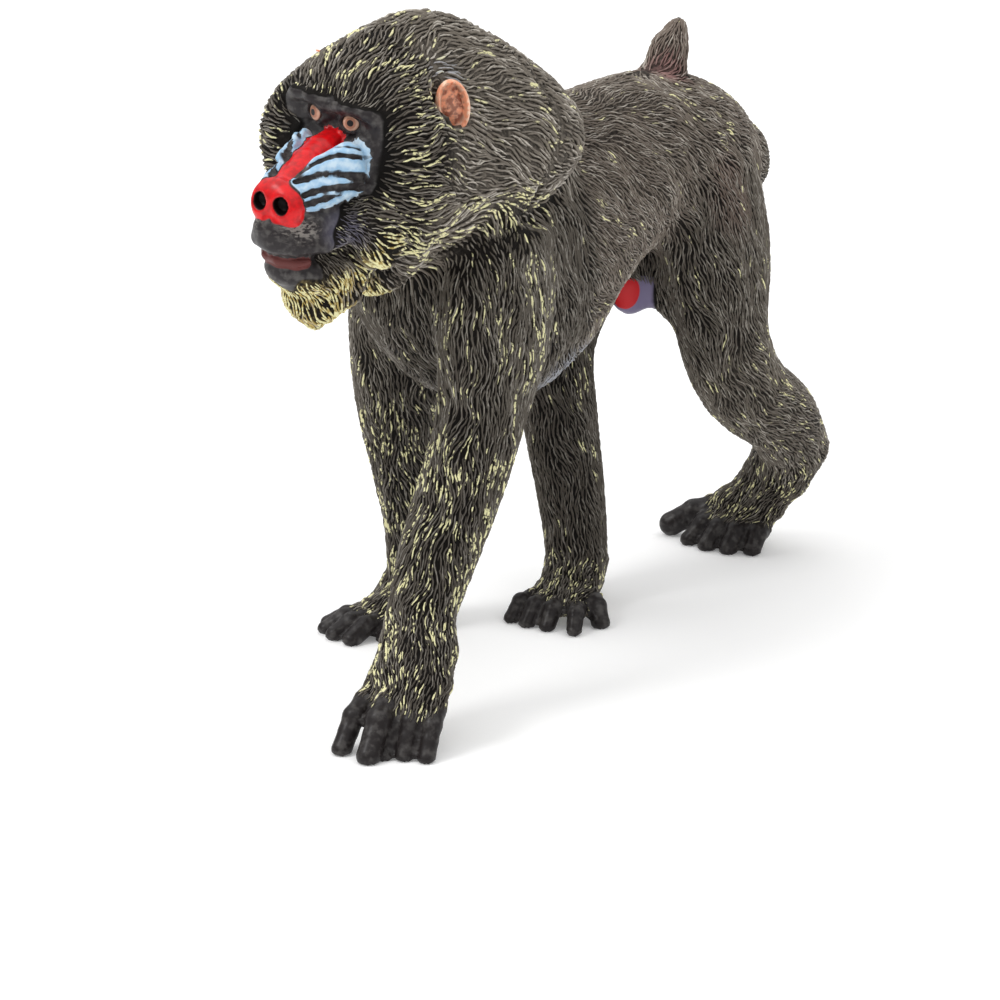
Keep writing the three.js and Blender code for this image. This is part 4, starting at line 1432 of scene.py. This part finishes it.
def eyeball(name, side):
    """A ball with a pressed-in pupil, and the distance from its gaze line as a map."""
    gaze = Vector((side * math.sin(GAZE), -math.cos(GAZE), 0))
    turn = Vector((0, 0, 1)).rotation_difference(gaze).to_euler()
    centre = place(*on_head(EYE, side))
    bpy.ops.mesh.primitive_uv_sphere_add(segments=40, ring_count=32, radius=EYE_RADIUS * MM,
                                         location=centre, rotation=turn)
    ball = bpy.context.object
    ball.name = name
    bpy.ops.object.transform_apply(location=True, rotation=True, scale=True)
    away = [(p.center - centre).normalized().dot(gaze) for p in ball.data.polygons]
    select_faces(ball, np.array(away) > math.cos(PUPIL_ANGLE))
    bpy.ops.transform.translate(value=-gaze * PUPIL_DEPTH * MM)
    bpy.ops.object.mode_set(mode="OBJECT")
    offset = to_mm(read_points(ball.data)) - to_mm(np.array(centre))
    ahead = offset @ np.array(gaze)
    aside = np.linalg.norm(offset - ahead[:, None] * np.array(gaze), axis=1)
    add_mask(ball.data, "from_gaze", np.where(ahead > 0, aside, 2.0))
    shade_smooth(ball.data)
    return ball


eyes = {name: eyeball(name, side) for name, side in (("eyeball_left", 1), ("eyeball_right", -1))}
print("eyes:", list(eyes), "at", EYE)

# %% [markdown]
# ## Ears
#
# Each ear is a small cup that stands out from the mane, with a rolled rim and a fold down the
# middle. It starts as a flattened ball. The faces of its open side are inset for the rim and
# pushed in for the bowl, and a smaller inset makes the fold.

# %% Two ears
EAR_SIZE = (1.05, 1.95, 2.95)
EAR_TURN = math.radians(-38)      # the open side looks out and forwards
EAR_CUTS = ((0.25, 0.75), (0.35, 0.3))    # how wide each inset is, and how deep it is pushed


def ear_piece(name, side):
    """A flattened ball with a bowl cut into one side, rounded by subdivision."""
    centre = place(*EAR_CENTRES[side])
    bpy.ops.mesh.primitive_uv_sphere_add(segments=28, ring_count=18, radius=1, location=centre,
                                         rotation=(0.15, 0, side * EAR_TURN),
                                         scale=[s * MM for s in EAR_SIZE])
    ear = bpy.context.object
    ear.name = name
    bpy.ops.object.transform_apply(location=True, rotation=True, scale=True)
    facing = Vector((side * math.cos(EAR_TURN), math.sin(EAR_TURN), 0))
    open_side = np.array([p.normal.dot(facing) for p in ear.data.polygons]) > 0.8
    select_faces(ear, open_side)
    for rim, depth in EAR_CUTS:
        bpy.ops.mesh.inset(thickness=rim * MM)
        bpy.ops.transform.translate(value=-facing * depth * MM)
    bpy.ops.object.mode_set(mode="OBJECT")
    smooth = ear.modifiers.new("smooth", "SUBSURF")
    smooth.levels = 2
    smooth.render_levels = 2
    pick(ear)
    bpy.ops.object.modifier_apply(modifier=smooth.name)
    offset = to_mm(read_points(ear.data)) - to_mm(np.array(centre))
    outwards = offset @ np.array(facing)
    outline = np.hypot(offset[:, 2] / EAR_SIZE[2],
                       (offset[:, 0] * facing.y - offset[:, 1] * facing.x) / EAR_SIZE[1])
    add_mask(ear.data, "bowl", ease(0.7, -0.2, outwards) * ease(0.95, 0.6, outline))
    shade_smooth(ear.data)
    return ear


ears = {name: ear_piece(name, side) for name, side in (("ear_cup_left", 1), ("ear_cup_right", -1))}
print("ears:", {name: len(ear.data.polygons) for name, ear in ears.items()})

# %% [markdown]
# ## Paint
#
# Shader maths reads best as plain arithmetic. The small class below wraps an output of a node,
# so that adding or multiplying two of them adds the Math node that does it. Colours are mixed
# with Mix nodes, and every other node comes from one method.

# %% Colours and wires
def paint(red, green, blue):
    """A colour from the 0 to 255 numbers of a paint chart, as light."""
    return tuple(((c / 255 + 0.055) / 1.055) ** 2.4 if c > 10 else c / 255 / 12.92
                 for c in (red, green, blue)) + (1.0,)


class Wire:
    """An output of a node, which can be added, subtracted and multiplied."""

    def __init__(self, bench, socket):
        self.bench = bench
        self.socket = socket

    def math(self, operation, first, second):
        node = self.bench.add("ShaderNodeMath", {"operation": operation}, {0: first, 1: second})
        return Wire(self.bench, node.outputs[0])

    def __add__(self, other):
        return self.math("ADD", self, other)

    def __sub__(self, other):
        return self.math("SUBTRACT", self, other)

    def __rsub__(self, other):
        return self.math("SUBTRACT", other, self)

    def __mul__(self, other):
        return self.math("MULTIPLY", self, other)


print("paint chart: middle grey as light is", round(paint(128, 128, 128)[0], 3))

# %% A bench for building materials
class Bench:
    """The nodes of one material, or of the sky."""

    def __init__(self, owner, shader="Principled BSDF"):
        self.owner = owner
        owner.use_nodes = True
        self.tree = owner.node_tree
        self.shader = self.tree.nodes[shader]
        self.coordinates = self.add("ShaderNodeTexCoord", {}, {}).outputs

    def feed(self, socket, value):
        if isinstance(value, Wire):
            value = value.socket
        if isinstance(value, bpy.types.NodeSocket):
            self.tree.links.new(value, socket)
        else:
            socket.default_value = value

    def add(self, kind, settings, values):
        node = self.tree.nodes.new(kind)
        for key, value in settings.items():
            setattr(node, key, value)
        for key, value in values.items():
            self.feed(node.inputs[key], value)
        return node

    def map(self, name):
        node = self.add("ShaderNodeAttribute", {"attribute_name": name}, {})
        return Wire(self, node.outputs["Fac"])

    def noise(self, per_mm, detail=2.0, stretch=(1, 1, 1)):
        scaled = self.add("ShaderNodeMapping", {}, {
            "Vector": self.coordinates["Object"], "Scale": stretch})
        node = self.add("ShaderNodeTexNoise", {}, {
            "Vector": scaled.outputs[0], "Scale": per_mm / MM, "Detail": detail})
        return Wire(self, node.outputs["Fac"])

    def rise(self, value, low, high):
        node = self.add("ShaderNodeMapRange", {"interpolation_type": "SMOOTHSTEP"}, {
            "Value": value, "From Min": low, "From Max": high})
        return Wire(self, node.outputs["Result"])

    def mix(self, factor, first, second, how="MIX"):
        node = self.add("ShaderNodeMix", {"data_type": "RGBA", "blend_type": how}, {
            0: factor, 6: first, 7: second})
        return Wire(self, node.outputs[2])

    def finish(self, colour, roughness, bump=None, bump_depth=0.05, **constants):
        self.feed(self.shader.inputs["Base Color"], colour)
        self.feed(self.shader.inputs["Roughness"], roughness)
        if bump is not None:
            node = self.add("ShaderNodeBump", {}, {
                "Height": bump, "Distance": bump_depth * MM, "Strength": 1.0})
            self.feed(self.shader.inputs["Normal"], node.outputs[0])
        for name, value in constants.items():
            self.feed(self.shader.inputs[name.replace("_", " ")], value)
        return self.owner


print("the bench offers:", [name for name in vars(Bench) if not name.startswith("_")])

# %% [markdown]
# The fur's paint has three layers, as on the toy: a dark wash that stays in the grooves, a
# grey-brown on the locks, and yellow-green dry brushing that catches only the highest parts of
# some locks. The same layers are used for the skin, which is seen between the locks.

# %% Fur paint
DARK_WASH = paint(20, 16, 13)
FUR_GREY = paint(106, 100, 91)
FUR_WARM = paint(120, 105, 96)
FUR_LIGHT = paint(186, 180, 170)
BRUSHED = paint(246, 241, 190)
GOLD = paint(206, 182, 110)
PALE = paint(196, 200, 210)
LAVENDER = paint(112, 110, 130)
TAIL_PINK = paint(140, 108, 104)


def fur_colour(bench, ridge, tuft):
    """The layers of paint over one lock, from its own height and random number."""
    patchy = bench.noise(0.22, 2.0)
    fine = bench.noise(1.8, 2.0)
    ground = bench.mix(bench.map("warm"), FUR_GREY, FUR_WARM)
    ground = bench.mix(bench.map("pink"), ground, TAIL_PINK)
    ground = bench.mix(bench.map("lavender") * 0.8, ground, LAVENDER)
    ground = bench.mix(bench.map("gold"), ground, GOLD)
    lighter = bench.rise(ridge * 0.6 + tuft * 0.5 + fine * 0.5, 1.0, 1.4)
    top = bench.mix(lighter, ground, FUR_LIGHT)
    shade = bench.rise(ridge + fine * 0.4 + patchy * 0.3, 0.35, 1.15)
    colour = bench.mix(shade, DARK_WASH, top)
    tone = bench.map("tone")
    grey = bench.add("ShaderNodeCombineColor", {}, {0: tone, 1: tone, 2: tone}).outputs[0]
    colour = bench.mix(1.0, colour, grey, "MULTIPLY")
    chosen = bench.rise(bench.map("brush") + patchy * 0.6 - tuft, 0.3, 0.36)
    dashed = bench.rise(fine, 0.42, 0.52)
    catch = chosen * dashed * bench.rise(ridge + fine * 0.4, 0.5, 0.9)
    colour = bench.mix(catch, colour, BRUSHED)
    streak = bench.rise(ridge + fine * 0.6 - tuft * 0.5, 0.6, 1.0)
    return bench.mix(bench.map("pale") * streak * 0.9, colour, PALE)


def fur_paint():
    bench = Bench(bpy.data.materials.new("coat_paint"))
    colour = fur_colour(bench, bench.map("ridge"), bench.map("tuft"))
    fine = bench.noise(3.5, 2.0)
    return bench.finish(colour, fine * 0.2 + 0.42, fine, 0.03, Specular_IOR_Level=0.18)


coat_material = fur_paint()
print("coat paint nodes:", len(coat_material.node_tree.nodes))

# %% [markdown]
# The bare skin carries the face: black-brown first, then red on the nose and its bridge, blue
# on the swellings with the grooves left dark, and a dull red on the lower lip.

# %% The dark parts of the bare skin
FACE_DARK = paint(44, 40, 41)
DIGIT_DARK = paint(35, 31, 31)
FLECK = paint(206, 200, 160)
MUZZLE_GREY = paint(84, 81, 79)
# pale for the scuffs and the painted highlight on the top of the muzzle
SCUFF_AND_HIGHLIGHT = paint(148, 142, 136)


def dark_parts(bench, worn):
    """Brow, muzzle and digits: black-brown with scuffs, pale scuffs and a painted highlight on the
    top of the muzzle, and light flecks on the knuckles.
    """
    digit = bench.map("digit")
    scuffed = bench.rise(worn, 0.42, 0.72)
    face = bench.mix(scuffed, FACE_DARK, MUZZLE_GREY)
    face = bench.mix(bench.map("lavender") * 0.4, face, LAVENDER)
    grain = bench.noise(4.0, 3.0, (0.35, 0.5, 1.0))
    # pale streaks on the top of the muzzle: partly scuffs, partly a painted highlight
    rubbed_and_lit = bench.rise(grain + bench.map("scuff") * 0.16, 0.56, 0.72)
    face = bench.mix(rubbed_and_lit * bench.map("scuff") * 0.8, face, SCUFF_AND_HIGHLIGHT)
    fingers = bench.mix(scuffed * 0.6, DIGIT_DARK, MUZZLE_GREY)
    speck = bench.noise(4.5, 1.0, (1, 0.6, 0.5))
    flecked = bench.rise(speck, 0.6, 0.66) * bench.rise(digit, 0.95, 0.3) * 0.8
    fingers = bench.mix(flecked, fingers, FLECK)
    return bench.mix(bench.rise(digit, 0.02, 0.2), face, fingers)


print("black-brown of the digits as light:", [round(c, 3) for c in DIGIT_DARK[:3]])

# %% Skin paint
RED = paint(226, 14, 22)
RED_DEEP = paint(182, 14, 20)
BLUE = paint(158, 196, 226)
# paler blue, also used as a painted highlight along the middle of the ridges
PALE_BLUE_AND_HIGHLIGHT = paint(204, 225, 240)
LIP = paint(98, 50, 47)
LILAC = paint(120, 112, 142)
BLUSH = paint(196, 34, 40)
NOSTRIL_DARK = paint(12, 5, 5)


def face_colour(bench):
    """The dark parts first, then blue, red, the lip and the nostrils over them."""
    worn = bench.noise(1.1, 3.0)
    colour = dark_parts(bench, worn)
    groove = bench.map("groove")
    # The blue pales at random, and towards each ridge's middle as a painted highlight.
    blue = bench.mix(bench.rise(groove * 0.4 + worn, 0.45, 0.8), BLUE, PALE_BLUE_AND_HIGHLIGHT)
    on_ridge = bench.rise(groove + worn * 0.06, 0.0, 0.08)
    colour = bench.mix(bench.rise(bench.map("blue"), -0.02, 0.06) * on_ridge, colour, blue)
    red = bench.mix(bench.rise(worn, 0.35, 0.7), RED, RED_DEEP)
    colour = bench.mix(bench.rise(bench.map("red"), -0.02, 0.1), colour, red)
    colour = bench.mix(bench.rise(bench.map("lip"), 0.0, 0.15), colour, LIP)
    return bench.mix(bench.rise(bench.map("nostril"), 0.0, 0.12), colour, NOSTRIL_DARK)


def skin_paint():
    """Fur paint where the skin is furry, the face's paints and the patches where it is bare."""
    bench = Bench(bpy.data.materials.new("skin_paint"))
    fine = bench.noise(2.2, 2.0)
    strand = bench.rise(fine, 0.35, 0.7)
    tone = bench.map("tone")
    fur = fur_colour(bench, strand * 0.2 + (tone - 1.0) * 0.6, fine)
    face = face_colour(bench)
    patches = bench.mix(bench.rise(bench.map("blush"), 0.42, 0.56), LILAC, BLUSH)
    bare_skin = bench.mix(bench.map("lilac"), face, patches)
    edge = bench.rise(bench.map("bare"), 0.3, 0.6)
    colour = bench.mix(edge, fur, bare_skin)
    hollow = bench.rise(bench.map("nostril"), 0.0, 0.12)
    painted = bench.rise(bench.map("red"), -0.02, 0.05) * (1.0 - hollow)
    roughness = 0.62 - edge * 0.2 - painted * 0.1 + fine * 0.08
    height = fine * (1.2 - edge * 0.9)
    return bench.finish(colour, roughness, height, 0.05, Specular_IOR_Level=0.12,
                        Coat_Weight=(1.0 - hollow) * edge * 0.2 + painted * 0.25,
                        Coat_Roughness=0.28)


skin_material = skin_paint()
skin.data.materials.clear()
skin.data.materials.append(skin_material)
for piece in coat.values():
    piece.data.materials.append(coat_material)
print("skin paint nodes:", len(skin_material.node_tree.nodes))

# %% [markdown]
# An eye is a salmon ring that pales outwards, between a dark pupil and a rim of painted lid shade,
# with a trace of varnish. The ears are a pale orange, and brown in the bowl, where the wash
# gathers.

# %% Eye and ear paint
PUPIL = paint(14, 5, 4)
EYE_RING = paint(176, 120, 96)
EYE_RING_PALE = paint(222, 176, 150)
# dark brown for the painted shade at the edge of the lids
LID_SHADE = paint(60, 36, 30)
EAR_ORANGE = paint(240, 162, 126)
EAR_PALE = paint(250, 210, 182)
EAR_BROWN = paint(142, 74, 50)


def eye_paint():
    bench = Bench(bpy.data.materials.new("eye_paint"))
    away = bench.map("from_gaze")
    speck = bench.noise(3.0, 2.0)
    ring = bench.mix(bench.rise(away + speck * 0.1, 0.55, 0.8), EYE_RING, EYE_RING_PALE)
    # a dark band at the edge of the lids: painted shade
    lid_shaded = bench.mix(bench.rise(away, 0.84, 0.96), ring, LID_SHADE)
    colour = bench.mix(bench.rise(away + speck * 0.06, 0.44, 0.36), lid_shaded, PUPIL)
    return bench.finish(colour, speck * 0.1 + 0.35, Coat_Weight=0.05, Specular_IOR_Level=0.25)


def ear_paint():
    bench = Bench(bpy.data.materials.new("ear_paint"))
    speck = bench.noise(1.6, 3.0)
    skin_tone = bench.mix(bench.rise(speck, 0.4, 0.62), EAR_ORANGE, EAR_PALE)
    washed = bench.map("bowl") * bench.rise(speck, 0.35, 0.6)
    colour = bench.mix(washed, skin_tone, EAR_BROWN)
    return bench.finish(colour, speck * 0.2 + 0.35, speck, 0.12)


eye_material, ear_material = eye_paint(), ear_paint()
for ball in eyes.values():
    ball.data.materials.append(eye_material)
for ear in ears.values():
    ear.data.materials.append(ear_material)
print("eyes and ears painted")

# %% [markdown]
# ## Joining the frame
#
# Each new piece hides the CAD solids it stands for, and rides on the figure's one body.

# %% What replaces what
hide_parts(*FLESH)
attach(skin, "root")
for name, piece in coat.items():
    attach(piece, "root")
    "mane_paint" if name in ("coat_ruff", "coat_nape") else "coat_paint"
for side in ("left", "right"):
    for kind, piece in (("eye", eyes[f"eyeball_{side}"]), ("ear", ears[f"ear_cup_{side}"])):
        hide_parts(f"{kind}_{side}")
        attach(piece, "root")
print("pieces:", 1 + len(coat) + len(eyes) + len(ears))

# %% [markdown]
# ## Floor, light and camera
#
# The figure stands on a plain white floor. The sky of light is brightest overhead, as in a
# tent of white cloth, and one large soft lamp shines from the upper left. The camera looks
# from the front, 35 degrees to the figure's left and 15 degrees above, through a long lens.

# %% The floor
WHITE = (1.0, 1.0, 1.0, 1.0)
bpy.ops.mesh.primitive_plane_add(size=4, location=(0, 0, 0))
floor = bpy.context.object
floor.name = "floor"
floor_bench = Bench(bpy.data.materials.new("floor_paper"))
mottle = floor_bench.noise(0.02, 2.0)
paper = floor_bench.mix(mottle, paint(243, 243, 243), paint(247, 247, 247))
floor.data.materials.append(floor_bench.finish(
    paper, mottle * 0.1 + 0.75, Specular_IOR_Level=0.1,
    Emission_Color=WHITE, Emission_Strength=0.16))
print("floor:", round(floor.dimensions.x, 1), "m across")

# %% The lights
world = bpy.data.worlds.new("white_sky")
bpy.context.scene.world = world
sky = Bench(world, "Background")
parts = sky.add("ShaderNodeSeparateXYZ", {}, {0: sky.coordinates["Generated"]})
overhead = sky.add("ShaderNodeMapRange", {"interpolation_type": "SMOOTHSTEP"}, {
    "Value": parts.outputs["Z"], "From Min": 0.1, "From Max": 0.95,
    "To Min": 0.3, "To Max": 1.4})
sky.feed(sky.shader.inputs["Color"], WHITE)
sky.feed(sky.shader.inputs["Strength"], overhead.outputs["Result"])


def wide_lamp(name, towards, strength, spread):
    """A lamp so large and far that it lights the whole floor evenly, with soft shadows."""
    light = bpy.data.lights.new(name, "SUN")
    light.energy = strength
    light.angle = math.radians(spread)
    holder = bpy.data.objects.new(name, light)
    bpy.context.scene.collection.objects.link(holder)
    holder.rotation_euler = Vector(towards).to_track_quat("-Z", "Y").to_euler()
    return holder


key = wide_lamp("key", (0.35, 0.55, -0.8), 0.9, 20)
print("lamp:", key.name, "and the sky")

# %% The camera
AZIMUTH, ELEVATION = math.radians(35), math.radians(15)
AIM_HEIGHT = 36               # the aim point is this far above the figure's zero
AIM_PIXEL = (518, 336)        # where the photograph shows it, from the upper left corner
DISTANCE = 450                # millimetres from the aim point
FOCAL_PIXELS = 3880
FRAME_PIXELS = 1000
SENSOR = 36
back = Vector((math.sin(AZIMUTH) * math.cos(ELEVATION),
               -math.cos(AZIMUTH) * math.cos(ELEVATION), math.sin(ELEVATION)))
right = Vector((math.cos(AZIMUTH), math.sin(AZIMUTH), 0))
up = back.cross(right)
aside, below = (FRAME_PIXELS / 2 - pixel for pixel in AIM_PIXEL)
ahead = (-back + right * (aside / FOCAL_PIXELS) - up * (below / FOCAL_PIXELS)).normalized()
right = (right - ahead * right.dot(ahead)).normalized()
up = right.cross(ahead)
lens = bpy.data.cameras.new("camera")
lens.sensor_width = SENSOR
lens.lens = SENSOR * FOCAL_PIXELS / FRAME_PIXELS
lens.clip_start = 0.01
camera = bpy.data.objects.new("camera", lens)
bpy.context.scene.collection.objects.link(camera)
standpoint = place(0, 0, AIM_HEIGHT) + back * DISTANCE * MM
camera.matrix_world = Matrix.Translation(standpoint) @ Matrix(
    (right, up, -ahead)).transposed().to_4x4()
bpy.context.scene.camera = camera
bpy.context.scene.view_settings.view_transform = "Standard"
print("camera at", [round(v, 3) for v in camera.location], "lens", round(lens.lens, 1))

# %% [markdown]
# ## Size
#
# The painted figure may be a little larger than the CAD one, never much.
